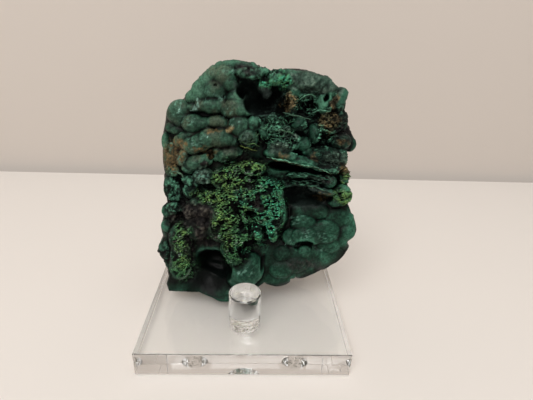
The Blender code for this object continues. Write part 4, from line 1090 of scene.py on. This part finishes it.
def stone_grid():
    """Walk and angle of every vertex, and the quads that join them, with a fan at the back."""
    walk, angle = square_to_disc(FRONT_HALF)
    side = 2 * FRONT_HALF + 1
    number = np.arange(side * side).reshape(side, side)
    front = np.stack([number[:-1, :-1], number[1:, :-1], number[1:, 1:], number[:-1, 1:]], -1)
    rim = rim_indices(FRONT_HALF)
    count = len(rim)
    steps = np.arange(1, BACK_RINGS + 1) / (BACK_RINGS + 0.35)
    ring_walk = np.repeat(1.0 + steps, count)
    ring_angle = np.tile(angle.ravel()[rim], BACK_RINGS)
    loops = np.concatenate([rim, side * side + np.arange(BACK_RINGS * count)]).reshape(-1, count)
    after = np.roll(loops, -1, axis=1)
    back = np.stack([loops[:-1], loops[1:], after[1:], after[:-1]], -1)
    pole = side * side + BACK_RINGS * count
    last = loops[-1]
    fan = np.stack([last[0::2], np.full(count // 2, pole), np.roll(last, -2)[0::2], last[1::2]], -1)
    walks = np.concatenate([walk.ravel(), ring_walk, [BACK_POLE]])
    angles = np.concatenate([angle.ravel(), ring_angle, [0.0]])
    quads = np.concatenate([front.reshape(-1, 4), back.reshape(-1, 4), fan])
    return walks, angles, quads


# %% patches: where finer sheets will lie on the body
PATCHES = {
    "moss_crust": ((-30, 22), (18, 80), 0.27, "moss"),
    "crumbly_matrix": ((3, 54), (73, 114), 0.30, "chaos"),
    "left_crust": ((-46, -27), (12, 82), 0.30, "left"),
}
PATCH_SINK = 1.1
PATCH_FADE = 2.5
# Under a patch the body's own relief is mostly flattened, and its tone mostly darkened as painted shade
# beneath the patch.
COVERED_FLATTEN = 0.7
COVERED_SHADE = 0.75


def patch_share(seen, kinds, spans, kind):
    """1 well inside the patch's kind and rectangle, 0 towards the border of either."""
    (a0, a1), (b0, b1) = spans
    inside = [seen[..., 0] - a0, a1 - seen[..., 0], seen[..., 1] - b0, b1 - seen[..., 1]]
    frame_share = np.clip(np.min(inside, axis=0) / PATCH_FADE, 0, 1)
    if kind == "left":
        wanted = np.maximum(kinds["moss"], kinds["chaos"])
    else:
        wanted = kinds[kind]
    return frame_share * wanted


def all_patches_share(seen, kinds):
    """The greatest share of any patch at each point."""
    shares = [patch_share(seen, kinds, (a, b), kind) for a, b, _, kind in PATCHES.values()]
    return np.max(shares, axis=0)


# %% keep it clear of the stand, in millimetres
PLATE_TOP = 12.7
POST_TOP = 31.75
POST_RADIUS = 7.9375
PLATE_CLEARANCE = 0.3
POST_CLEARANCE = 0.5
POSTS = {"post_front": (0.0, -29.5), "post_rear_left": (-30.9, 31.0), "post_rear_right": (30.9, 31.0)}


def rest_on_stand(world):
    """Lift off the plate, and slide or lift off each post, whichever is shorter."""
    world = world.copy()
    world[..., 2] = np.maximum(world[..., 2], PLATE_TOP + PLATE_CLEARANCE)
    clear = POST_RADIUS + POST_CLEARANCE
    clear_top = POST_TOP + POST_CLEARANCE
    for x, y in POSTS.values():
        across = world[..., 0] - x
        inward = world[..., 1] - y
        inside = (across**2 + inward**2 < clear**2) & (world[..., 2] < clear_top)
        up = clear_top - world[..., 2]
        side = np.sqrt(np.maximum(clear**2 - across**2, 0)) * (1.0 if y < 0 else -1.0)
        lift = inside & (up <= np.abs(side - inward))
        push = inside & ~lift
        world[..., 2] = np.where(lift, clear_top, world[..., 2])
        world[..., 1] = np.where(push, y + side, world[..., 1])
    return world


# %% the body mesh
def add_body():
    """The whole stone: grown, given relief and tone, set clear of the stand, as one mesh."""
    walks, angles, quads = stone_grid()
    grown, lines, seen = grown_surface(walks, angles)
    kinds = kinds_of(seen, grown, walks)
    height, signals = relief_of(grown, kinds)
    covered = all_patches_share(seen, kinds)
    height = height * (1 - COVERED_FLATTEN * covered) - PATCH_SINK * covered
    surface = grown + lines * height[:, None]
    side = 2 * FRONT_HALF + 1
    wide, near = np.zeros(len(walks)), np.zeros(len(walks))
    front_c = surface[:side * side, 2].reshape(side, side)
    front_wide, front_near = standing_out(front_c, FRONT_WIDTH / side)
    wide[:side * side] = front_wide.ravel()
    near[:side * side] = front_near.ravel()
    tone = tone_of(grown, kinds, signals, wide, near)
    # Painted shade: the body is darkened where a patch covers it.
    tone = tone * (1 - COVERED_SHADE * covered)[:, None]
    mesh = sheet_mesh("malachite_body", rest_on_stand(to_world(surface)) * MM, quads)
    rough = np.clip(kinds["moss"] + kinds["chaos"] + kinds["soot"] + kinds["behind"], 0, 1)
    store_tone(mesh, tone, rough)
    body = add_piece("malachite_body", mesh, malachite)
    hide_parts("malachite")
    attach(body, "root")
    print("body:", len(walks), "points,", 2 * len(quads), "triangles")


add_body()

# %% [markdown]
# ## Finer patches
#
# The moss crust, the crust of the left column and the crumbly matrix have more grain than the
# body's mesh can hold. Each is a sheet of its own, with more than three points to the
# millimetre, closed by a hidden sheet inside the stone. It fades below the body towards its
# border, so no border shows.

# %% a closed sheet over part of the front
def closed_sheet(name, front, inner, keep):
    """Two sheets of the same grid joined along the border of the kept quads."""
    rows, columns = front.shape[:2]
    number = np.arange(rows * columns).reshape(rows, columns)
    quads = np.stack([number[:-1, :-1], number[1:, :-1], number[1:, 1:], number[:-1, 1:]], -1)
    quads = quads[keep]
    edges = np.concatenate([quads[:, [k, (k + 1) % 4]] for k in range(4)])
    total = rows * columns
    forward = edges[:, 0] * total + edges[:, 1]
    border = edges[~np.isin(forward, edges[:, 1] * total + edges[:, 0])]
    walls = np.stack([border[:, 1], border[:, 0], border[:, 0] + total, border[:, 1] + total], -1)
    faces = np.concatenate([quads, quads[:, ::-1] + total, walls])
    used, faces = np.unique(faces, return_inverse=True)
    points = np.concatenate([front.reshape(-1, 3), inner.reshape(-1, 3)])[used]
    return sheet_mesh(name, points, faces.reshape(-1, 4)), used


def patch_surface(spans, step):
    """Everything known on a rectangle of the front, at a finer step."""
    (a0, a1), (b0, b1) = spans
    a, b = np.meshgrid(np.arange(a0, a1, step), np.arange(b0, b1, step), indexing="ij")
    walk, angles = walk_to(a, b)
    walk = np.minimum(walk, 1.0)
    grown, lines, seen = grown_surface(walk, angles)
    kinds = kinds_of(seen, grown, walk)
    height, signals = relief_of(grown, kinds)
    return grown, lines, seen, walk, kinds, height, signals


# A patch stands a little above the body, dives below it at its border, and ends before the rim.
PATCH_LIFT = 0.25
PATCH_DIVE = 2.2
INNER_DEPTH = 2.6
RIM_FROM = 0.985
RIM_SPAN = 0.03
LEAST_SHARE = 0.02
patch_tops = {}


def add_patch(name, span_a, span_b, step, kind):
    """A finer sheet over one rectangle of the front, kept where the patch has a share."""
    spans = (span_a, span_b)
    grown, lines, seen, walk, kinds, height, signals = patch_surface(spans, step)
    share = patch_share(seen, kinds, spans, kind) * np.clip((RIM_FROM - walk) / RIM_SPAN, 0, 1)
    lifted = (height + PATCH_LIFT) * share - PATCH_DIVE * (1 - share)
    front = grown + lines * lifted[..., None]
    inner = grown - lines * INNER_DEPTH
    corners = [share[:-1, :-1], share[1:, :-1], share[1:, 1:], share[:-1, 1:]]
    keep = np.max(corners, axis=0) > LEAST_SHARE
    wide, near = standing_out(front[..., 2], step)
    tone = tone_of(grown, kinds, signals, wide, near)
    world = rest_on_stand(to_world(front)) * MM
    mesh, used = closed_sheet(name, world, rest_on_stand(to_world(inner)) * MM, keep)
    flat_tone = np.concatenate([tone.reshape(-1, 3)] * 2)[used]
    store_tone(mesh, flat_tone, np.ones(len(used)))
    piece = add_piece(name, mesh, malachite)
    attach(piece, "root")
    patch_tops[name] = {"front": front, "lines": lines, "kinds": kinds, "signals": signals,
                        "share": share, "tone": tone}
    print(name, "has", 2 * len(mesh.polygons), "triangles")


for patch_name, (span_a, span_b, step, kind) in PATCHES.items():
    add_patch(patch_name, span_a, span_b, step, kind)

# %% [markdown]
# ## Grains
#
# Seen close, the moss is a heap of tiny round malachite grains, bright on their crests, with
# black gaps between. Thousands of small spheres sit on the ridges of the crust; each is a
# ball of a few dozen faces, made once and copied by adding its place to the ball's points.

# %% one small ball, then thousands of places for it
BALL_SIDES = 6
BALL_RINGS = 3


def small_ball():
    """Points on rings of latitude plus two poles, and triangles, for a radius of 1."""
    tilt = np.pi * np.arange(1, BALL_RINGS + 1) / (BALL_RINGS + 1)
    turn = 2 * np.pi * np.arange(BALL_SIDES) / BALL_SIDES
    ring = np.stack([np.cos(turn), np.sin(turn)], -1)
    middle = np.concatenate([np.sin(tilt)[:, None, None] * ring,
                             np.broadcast_to(np.cos(tilt)[:, None, None], (BALL_RINGS, BALL_SIDES, 1))], -1)
    points = np.concatenate([[[0, 0, 1.0]], middle.reshape(-1, 3), [[0, 0, -1.0]]])
    number = 1 + np.arange(BALL_RINGS * BALL_SIDES).reshape(BALL_RINGS, BALL_SIDES)
    after = np.roll(number, -1, axis=1)
    lower = np.stack([number[:-1], number[1:], after[1:]], -1).reshape(-1, 3)
    upper = np.stack([number[:-1], after[1:], after[:-1]], -1).reshape(-1, 3)
    top = np.stack([np.zeros(BALL_SIDES, int), number[0], after[0]], -1)
    last = 1 + BALL_RINGS * BALL_SIDES
    bottom = np.stack([np.full(BALL_SIDES, last), after[-1], number[-1]], -1)
    return points, np.concatenate([top, lower, upper, bottom])


BALL_POINTS, BALL_FACES = small_ball()


def strewn_balls(centres, sizes):
    """The ball at every centre: centre + ball * sizes, and the triangles of all the copies."""
    points = centres[:, None] + BALL_POINTS[None] * sizes
    numbers = BALL_FACES[None] + (np.arange(len(centres)) * len(BALL_POINTS))[:, None, None]
    return points, numbers.reshape(-1, 3)


def pick_spots(wanted, count, gap, seed):
    """Up to count grid points, likelier where wanted is high, at most one to a cell of the gap."""
    columns = wanted.shape[1]
    chance = np.random.default_rng(seed).random(wanted.shape) ** (1.0 / np.maximum(wanted, 1e-3))
    chance = np.where(wanted > LEAST_SHARE, chance, 0.0).ravel()
    order = np.argsort(-chance)
    order = order[chance[order] > 0]
    cell_row, cell_column = np.divmod(order, columns)
    cell = (cell_row // gap) * (columns // gap + 1) + cell_column // gap
    _, first = np.unique(cell, return_index=True)
    return order[np.sort(first)][:count]


# A grain's three half widths for a radius of 1, before each is stretched at random.
GRAIN_SHAPE = np.array([1.25, 0.9, 0.75])
GRAIN_ROUGH_SHARE = 0.8


def add_grains(name, top, wanted, count, gap, size, seed, lift=0.3, brighten=1.25):
    """Balls at picked spots; radius from size, colour from the surface they sit on, darker on the lower side
    as painted shade.
    """
    spots = pick_spots(wanted, count, gap, seed)
    draw = np.random.default_rng(seed + 1)
    radius = size[0] + (size[1] - size[0]) * draw.random(len(spots)) ** 2
    centre = top["front"].reshape(-1, 3)[spots]
    centre = centre + top["lines"].reshape(-1, 3)[spots] * (lift * radius)[:, None]
    stretch = GRAIN_SHAPE * (0.6 + 0.8 * draw.random((len(spots), 1, 3)))
    points, faces = strewn_balls(to_world(centre), radius[:, None, None] * stretch)
    mesh = sheet_mesh(name, rest_on_stand(points).reshape(-1, 3) * MM, faces)
    own = top["tone"].reshape(-1, 3)[spots] * (brighten * (0.25 + 1.6 * draw.random((len(spots), 1))))
    # Painted shade: each grain is darker on its lower side and lighter on its top.
    underside_painted_shade = 0.35 + 0.65 * np.clip(0.5 + 0.7 * BALL_POINTS[:, 2], 0, 1)
    tone = own[:, None] * underside_painted_shade[None, :, None]
    store_tone(mesh, tone.reshape(-1, 3), np.full(len(BALL_POINTS) * len(spots), GRAIN_ROUGH_SHARE))
    piece = add_piece(name, mesh, malachite)
    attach(piece, "root")
    print(name, ":", len(spots), "grains,", len(faces), "triangles")


# %% grains where each patch stands high in its own relief
crust = patch_tops["moss_crust"]
on_moss = crust["kinds"]["moss"] * crust["share"] * np.clip(3 * crust["signals"]["crust"] - 1.7, 0, 1)
add_grains("moss_grains", crust, on_moss, 5000, 2, (0.17, 0.40), seed=5)
left = patch_tops["left_crust"]
on_left = np.maximum(left["kinds"]["moss"], 0.4 * left["kinds"]["chaos"]) * left["share"]
on_left = on_left * np.clip(3 * left["signals"]["crust"] - 1.7, 0, 1)
add_grains("left_grains", left, on_left, 2200, 2, (0.18, 0.44), seed=7)
matrix = patch_tops["crumbly_matrix"]
on_matrix = matrix["share"] * (0.25 + np.maximum(matrix["kinds"]["brown"], matrix["kinds"]["grey"]))
on_matrix = on_matrix * np.clip(2.0 * matrix["signals"]["chaos"] - 0.3, 0, 1)
add_grains("matrix_grains", matrix, on_matrix, 3200, 2, (0.18, 0.46), seed=9, brighten=1.2)

# %% [markdown]
# ## Ledges, rims and threads
#
# Sheets of malachite stand out of the right side as thin wavy ledges over black gaps, and
# fine threads and strands cross the crumbly middle. Each is a closed profile carried along a
# path: a flat lens for a ledge, a small round for a thread.

# %% carry a closed profile along a path
SWEPT_ROUGH_SHARE = 0.5


def smooth_path(corners, count):
    """A path through given corners, evenly stepped: straight pieces, then twice averaged."""
    corners = np.array(corners, dtype=float)
    length = np.concatenate([[0], np.cumsum(np.linalg.norm(np.diff(corners, axis=0), axis=1))])
    at = np.linspace(0, length[-1], count)
    path = np.stack([np.interp(at, length, corners[:, k]) for k in range(corners.shape[1])], -1)
    for _ in range(2):
        path[1:-1] = 0.25 * path[:-2] + 0.5 * path[1:-1] + 0.25 * path[2:]
    return path


def along_lines(path):
    """Stone points seen at (a, b) and standing c high: (a, b, 0) plus c growth directions."""
    flat = np.stack([path[:, 0], path[:, 1], np.zeros(len(path))], -1)
    return flat + growth_direction(path[:, 0], path[:, 1]) * path[:, 2:3]


def swept(centres, across, upward, width, thickness, sides):
    """Rings of an ellipse in the plane of two directions, with both ends closed on a point."""
    turn = 2 * np.pi * np.arange(sides) / sides
    ring = (np.cos(turn)[None, :, None] * across[:, None] * width[:, None, None]
            + np.sin(turn)[None, :, None] * upward[:, None] * thickness[:, None, None])
    rings = centres[:, None] + ring
    count = len(centres)
    number = np.arange(count * sides).reshape(count, sides)
    after = np.roll(number, -1, axis=1)
    first = np.stack([number[:-1], after[:-1], after[1:]], -1).reshape(-1, 3)
    second = np.stack([number[:-1], after[1:], number[1:]], -1).reshape(-1, 3)
    start, end = count * sides, count * sides + 1
    cap_start = np.stack([np.full(sides, start), after[0], number[0]], -1)
    cap_end = np.stack([np.full(sides, end), number[-1], after[-1]], -1)
    points = np.concatenate([rings.reshape(-1, 3), centres[:1], centres[-1:]])
    return points, np.concatenate([first, second, cap_start, cap_end])


def outward(points, faces):
    """Faces turned so that the closed shape's signed volume is positive."""
    a, b, c = (points[faces[:, k]] for k in range(3))
    volume = (a * np.cross(b, c)).sum()
    return faces if volume > 0 else faces[:, ::-1]


def join(parts):
    """Several (points, faces, tones) as one."""
    offsets = np.cumsum([0] + [len(points) for points, _, _ in parts[:-1]])
    faces = [faces + offset for (_, faces, _), offset in zip(parts, offsets)]
    return (np.concatenate([p for p, _, _ in parts]), np.concatenate(faces),
            np.concatenate([t for _, _, t in parts]))


def add_swept(name, parts):
    """Several swept shapes, joined as one piece of the stone."""
    points, faces, tone = join(parts)
    mesh = sheet_mesh(name, rest_on_stand(to_world(points)) * MM, faces)
    store_tone(mesh, tone, np.full(len(points), SWEPT_ROUGH_SHARE))
    piece = add_piece(name, mesh, malachite)
    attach(piece, "root")
    print(name, "has", len(faces), "triangles")


# %% ledges: lip path (a, b, c), reach into the stone, thickness, lip and root colours; the lip colour lies on the upper outer side as painted light, the root colour below and inside as painted shade
LEDGES = [
    ([(9.5, 78.6, 12), (14, 78.0, 14.6), (20, 76.8, 15.2), (26, 75.8, 14.6), (32, 74.6, 14.4),
      (38, 73.0, 13.6), (43.5, 71.4, 11)], 5.5, 1.0, (98, 158, 130), (66, 50, 28)),
    ([(19.5, 69.4, 9), (22.5, 70.4, 10.2), (26, 70.0, 10.8), (29, 71.0, 11), (33, 70.2, 11),
      (37, 69.0, 10.8), (42.5, 67.8, 9.5)], 4.5, 0.6, (90, 154, 126), (20, 32, 26)),
    ([(31, 64.4, 8.5), (35, 63.8, 10.6), (39, 62.2, 11.2), (43, 61.2, 11.4), (46.5, 60.8, 10)],
     4.0, 0.7, (80, 128, 104), (48, 30, 24)),
    ([(23, 67.0, 7), (28, 66.6, 8), (33, 67.2, 8.4), (38, 66.0, 8.4), (43, 66.8, 8)],
     3.0, 0.5, (72, 112, 94), (16, 24, 20)),
]
LEDGE_SIDES = 20
LEDGE_STEP = 0.35


def ledge(corners, reach, thickness, lip_tone, root_tone):
    """A wavy lens: its front edge on the path, its back edge inside the stone."""
    length = np.linalg.norm(np.diff(np.array(corners)[:, :2], axis=0), axis=1).sum()
    path = smooth_path(corners, int(length / LEDGE_STEP))
    lip = along_lines(path)
    along = unit(np.gradient(lip, axis=0))
    inward = -unit(growth_direction(path[:, 0], path[:, 1]))
    upward = unit(np.cross(along, inward))
    upward = upward * np.sign(upward[:, 1:2])
    wave = 0.8 * lattice_noise(lip, 2.8, 121) + 0.5 * lattice_noise(lip, 1.1, 122)
    share = np.linspace(0, 1, len(path))
    taper = np.clip(np.minimum(share, 1 - share) / 0.08, 0, 1) ** 0.5
    width = 0.5 * reach * (0.15 + 0.85 * taper) * (1 + 0.12 * wave)
    thick = 0.5 * thickness * (0.3 + 0.7 * taper) * (1.0 + 0.7 * lattice_noise(lip, 1.7, 123))
    centres = lip + inward * (0.5 * reach + 0.7 * wave)[:, None] + upward * (0.5 * wave)[:, None]
    points, faces = swept(centres, inward, upward, width, np.maximum(thick, 0.12), LEDGE_SIDES)
    points = points + 0.16 * np.stack([layered_noise(points, 0.9, 2, 131 + k) for k in range(3)], -1)
    turn = 2 * np.pi * np.arange(LEDGE_SIDES) / LEDGE_SIDES
    # Painted light and shade: round each ledge's profile the colour runs from the root colour, underneath and
    # inside, to the lip colour on the upper outer side.
    lit_side_painted = np.clip(0.5 - 0.75 * np.cos(turn), 0, 1) * np.clip(0.55 + 0.6 * np.sin(turn), 0.1, 1)
    mix = np.concatenate([np.tile(lit_side_painted, len(path)), [0.3, 0.3]])
    speckle = np.clip(0.75 + 0.9 * layered_noise(points, 1.0, 2, 141), 0.12, 2)
    tone = lay(np.broadcast_to(linear(*root_tone), points.shape), linear(*lip_tone), mix) * speckle[:, None]
    return points, outward(points, faces), tone


add_swept("ledges", [ledge(*row) for row in LEDGES])

# %% threads: strands (corners a, b, c, then radius and colour), then webs of fine threads
STRANDS = [
    ([(-4, 84.4, 9), (-1, 83.6, 10.6), (2, 82.6, 10.4), (5, 82.0, 9)], 0.35, (96, 112, 58)),
    ([(-3, 86.2, 9), (0, 85.2, 11), (3, 85.6, 11), (6, 84.4, 10)], 0.35, (78, 112, 70)),
    ([(-36.5, 10.2, 6), (-33.5, 12.0, 7.4), (-31, 14.4, 7.2), (-30, 18, 6)], 0.55, (74, 92, 76)),
    ([(-40, 69.6, 4), (-37.5, 70.8, 5), (-34.5, 69.8, 6), (-32.4, 67.4, 5.4)], 0.6, (84, 112, 92)),
    ([(17, 101.4, 9.6), (22, 100.2, 10.4), (27, 99.0, 10), (31, 98.2, 9.4)], 0.5, (66, 96, 78)),
    ([(25, 107.4, 9.4), (27.5, 109.6, 10), (30.5, 110.4, 9.8), (33, 109.0, 9)], 0.4, (84, 132, 106)),
    ([(31.5, 101.6, 9), (34.0, 103.0, 9.6), (37.5, 102.6, 9.6), (41, 102.4, 8.6)], 0.35, (92, 144, 118)),
    ([(12.4, 92.2, 11.4), (16, 92.8, 12.4), (20, 92.0, 12), (23, 91.0, 10)], 0.4, (80, 118, 92)),
]
WEBS = [((7, 24), (86, 99), 11.6, 90, (78, 126, 98)), ((-4, 6), (81, 91), 10.4, 30, (60, 86, 62)),
        ((22, 33), (101, 110), 9.4, 30, (76, 122, 98)), ((36, 48), (90, 100), 9.0, 30, (74, 76, 54))]
# Each web above: its span of a and of b, its height, how many threads it has, and their colour.
THREAD_SIDES = 6
THREAD_STEP = 0.4


def thread(corners, radius, colour, seed):
    """A winding strand that thins out towards both ends."""
    corners = np.array(corners, dtype=float)
    length = np.linalg.norm(np.diff(corners[:, :2], axis=0), axis=1).sum()
    path = along_lines(smooth_path(corners, max(8, int(length / THREAD_STEP))))
    path = path + 0.35 * np.stack([lattice_noise(path, 1.3, seed + k) for k in range(3)], -1)
    along = unit(np.gradient(path, axis=0))
    across = unit(np.cross(along, AXIS_C + 0.01))
    upward = np.cross(along, across)
    share = np.linspace(0, 1, len(path))
    size = radius * (0.25 + 0.75 * np.sin(np.pi * share) ** 0.6) * (1 + 0.35 * lattice_noise(path, 0.9, seed))
    points, faces = swept(path, across, upward, size, 0.8 * size, THREAD_SIDES)
    speckle = 0.8 + 0.45 * lattice_noise(points, 0.7, seed + 5)
    return points, outward(points, faces), linear(*colour) * speckle[:, None]


def web(span_a, span_b, height, count, colour, draw):
    """Short threads strewn over a rectangle, each with its own turn and length."""
    for number in range(count):
        middle = np.array([draw.uniform(*span_a), draw.uniform(*span_b)])
        turn = draw.uniform(-0.9, 0.9) + (0.5 * np.pi if number % 4 == 0 else 0.0)
        reach = draw.uniform(0.7, 1.9)
        step = reach * np.array([np.cos(turn), np.sin(turn)])
        ends = [middle - step, middle + step * 0.1 + draw.uniform(-0.6, 0.6, 2), middle + step]
        place = np.array(ends)
        walk, angles = walk_to(place[:, 0], place[:, 1])
        ground = grown_surface(walk, angles)[0][:, 2]
        rise = ground + np.array([-0.2, draw.uniform(0.8, 1.9), -0.2])
        corners = np.concatenate([place, np.maximum(rise, height - 5.0)[:, None]], axis=1)
        shade = np.array(colour) * draw.uniform(0.5, 1.25)
        yield thread(corners, draw.uniform(0.10, 0.22), shade, 200 + number)


draw = np.random.default_rng(17)
threads = []
for number, (corners, radius, colour) in enumerate(STRANDS):
    threads.append(thread(corners, radius, colour, 150 + 7 * number))
for span_a, span_b, height, count, colour in WEBS:
    threads += list(web(span_a, span_b, height, count, colour, draw))
add_swept("threads", threads)

# %% [markdown]
# ## The clear stand
#
# Clear acrylic is mostly what it bends, and it takes up a little light on the way. The plate
# is a block with polished edges, and the posts are bonded to its top. In a bond light passes
# straight from one piece into the other. Two faces that cross by a hair do the same: what the
# first bends, the second bends back. So each post's foot is let into the plate by less than a
# tenth of a millimetre, and no gap mirrors the table. A hand-made bond also shuts in small
# flat bubbles of air, which look pale. Here they are pale white solids, a painted reflection
# of the light that their air throws back. They lie inside that tenth of a millimetre.

# %% clear acrylic
def acrylic_finish():
    """Plain transmission, with a weak neutral absorption inside."""
    finish = bpy.data.materials.new("clear_acrylic")
    finish.use_nodes = True
    nodes, links = finish.node_tree.nodes, finish.node_tree.links
    surface = nodes["Principled BSDF"]
    surface.inputs["Base Color"].default_value = (0.99, 0.995, 0.995, 1.0)
    surface.inputs["Roughness"].default_value = 0.0
    surface.inputs["IOR"].default_value = 1.49
    surface.inputs["Transmission Weight"].default_value = 1.0
    inside = nodes.new("ShaderNodeVolumeAbsorption")
    inside.inputs["Color"].default_value = (0.9, 0.9, 0.9, 1.0)
    inside.inputs["Density"].default_value = 12.0
    links.new(inside.outputs["Volume"], nodes["Material Output"].inputs["Volume"])
    return finish


acrylic = acrylic_finish()
print("finish:", acrylic.name)

# %% posts: a profile carried round a circle, in millimetres
BOND_DEPTH = 0.08
POST_CHAMFER = 0.55
POST_SIDES = 96
SHARP_ANGLE = np.radians(30)
WELD_DISTANCE = 1e-7


def turned(profile, centre, sides):
    """A profile of (radius, z) carried round a circle: rings of points and the quads between."""
    profile = np.array(profile, dtype=float)
    turn = np.linspace(0, 2 * np.pi, sides, endpoint=False)
    ring = np.stack([np.cos(turn), np.sin(turn)], -1)
    xy = profile[:, None, :1] * ring[None] + np.array(centre)
    z = np.broadcast_to(profile[:, None, 1:], (len(profile), sides, 1))
    points = np.concatenate([xy, z], -1).reshape(-1, 3)
    number = np.arange(len(points)).reshape(len(profile), sides)
    after = np.roll(number, -1, axis=1)
    return points, np.stack([number[:-1], after[:-1], after[1:], number[1:]], -1).reshape(-1, 4)


def weld_poles(mesh):
    """Merge the rings of no radius on the axis into single points."""
    welded = bmesh.new()
    welded.from_mesh(mesh)
    bmesh.ops.remove_doubles(welded, verts=welded.verts, dist=WELD_DISTANCE)
    welded.to_mesh(mesh)
    welded.free()


def add_post(name, centre):
    """A post: flat foot, straight side, a fine chamfer and a flat top."""
    foot = PLATE_TOP - BOND_DEPTH
    profile = [(0.0, foot), (POST_RADIUS, foot), (POST_RADIUS, POST_TOP - POST_CHAMFER),
               (POST_RADIUS - POST_CHAMFER, POST_TOP), (0.0, POST_TOP)]
    points, quads = turned(profile, centre, POST_SIDES)
    mesh = sheet_mesh(name + "_clear", points * MM, quads)
    weld_poles(mesh)
    mesh.set_sharp_from_angle(angle=SHARP_ANGLE)
    post = add_piece(name + "_clear", mesh, acrylic)
    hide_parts(name)
    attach(post, "root")


for post_name, post_centre in POSTS.items():
    add_post(post_name, post_centre)
print(len(POSTS), "posts")

# %% bubbles in the bonds: how many to a post, how near its side, and their sizes in millimetres
BUBBLES = 150
BUBBLE_MARGIN = 0.9
SMALLEST_BUBBLE = 0.16
BUBBLE_RANGE = 0.42
BUBBLE_SHAPE = np.array([1.3, 0.9, 0.05])


def add_bubbles(count, seed):
    """Flat bubbles shut in the bonds: (x, y) = centre + reach * (cos turn, sin turn)."""
    draw = np.random.default_rng(seed)
    centres = np.repeat(np.array(list(POSTS.values())), count, axis=0)
    reach = (POST_RADIUS - BUBBLE_MARGIN) * np.sqrt(draw.random(len(centres)))
    turn = 2 * np.pi * draw.random(len(centres))
    places = np.stack([centres[:, 0] + reach * np.cos(turn), centres[:, 1] + reach * np.sin(turn),
                       np.full(len(centres), PLATE_TOP - 0.5 * BOND_DEPTH)], -1)
    size = (SMALLEST_BUBBLE + BUBBLE_RANGE * draw.random((len(centres), 1, 1)) ** 2) * BUBBLE_SHAPE
    points, faces = strewn_balls(places, size)
    mesh = sheet_mesh("bond_bubbles", points.reshape(-1, 3) * MM, faces)
    # Painted reflection: the bubbles take a pale white finish in place of the light their air throws back.
    bubbles = add_piece("bond_bubbles", mesh, plain_finish("bubble_painted_reflection", linear(238, 234, 222), 0.6))
    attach(bubbles, "root")
    print("bubbles:", len(centres))


add_bubbles(BUBBLES, seed=15)

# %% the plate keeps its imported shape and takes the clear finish
plate = bpy.data.objects["base_plate"]
plate.data.materials.clear()
plate.data.materials.append(acrylic)
print("stand dressed")
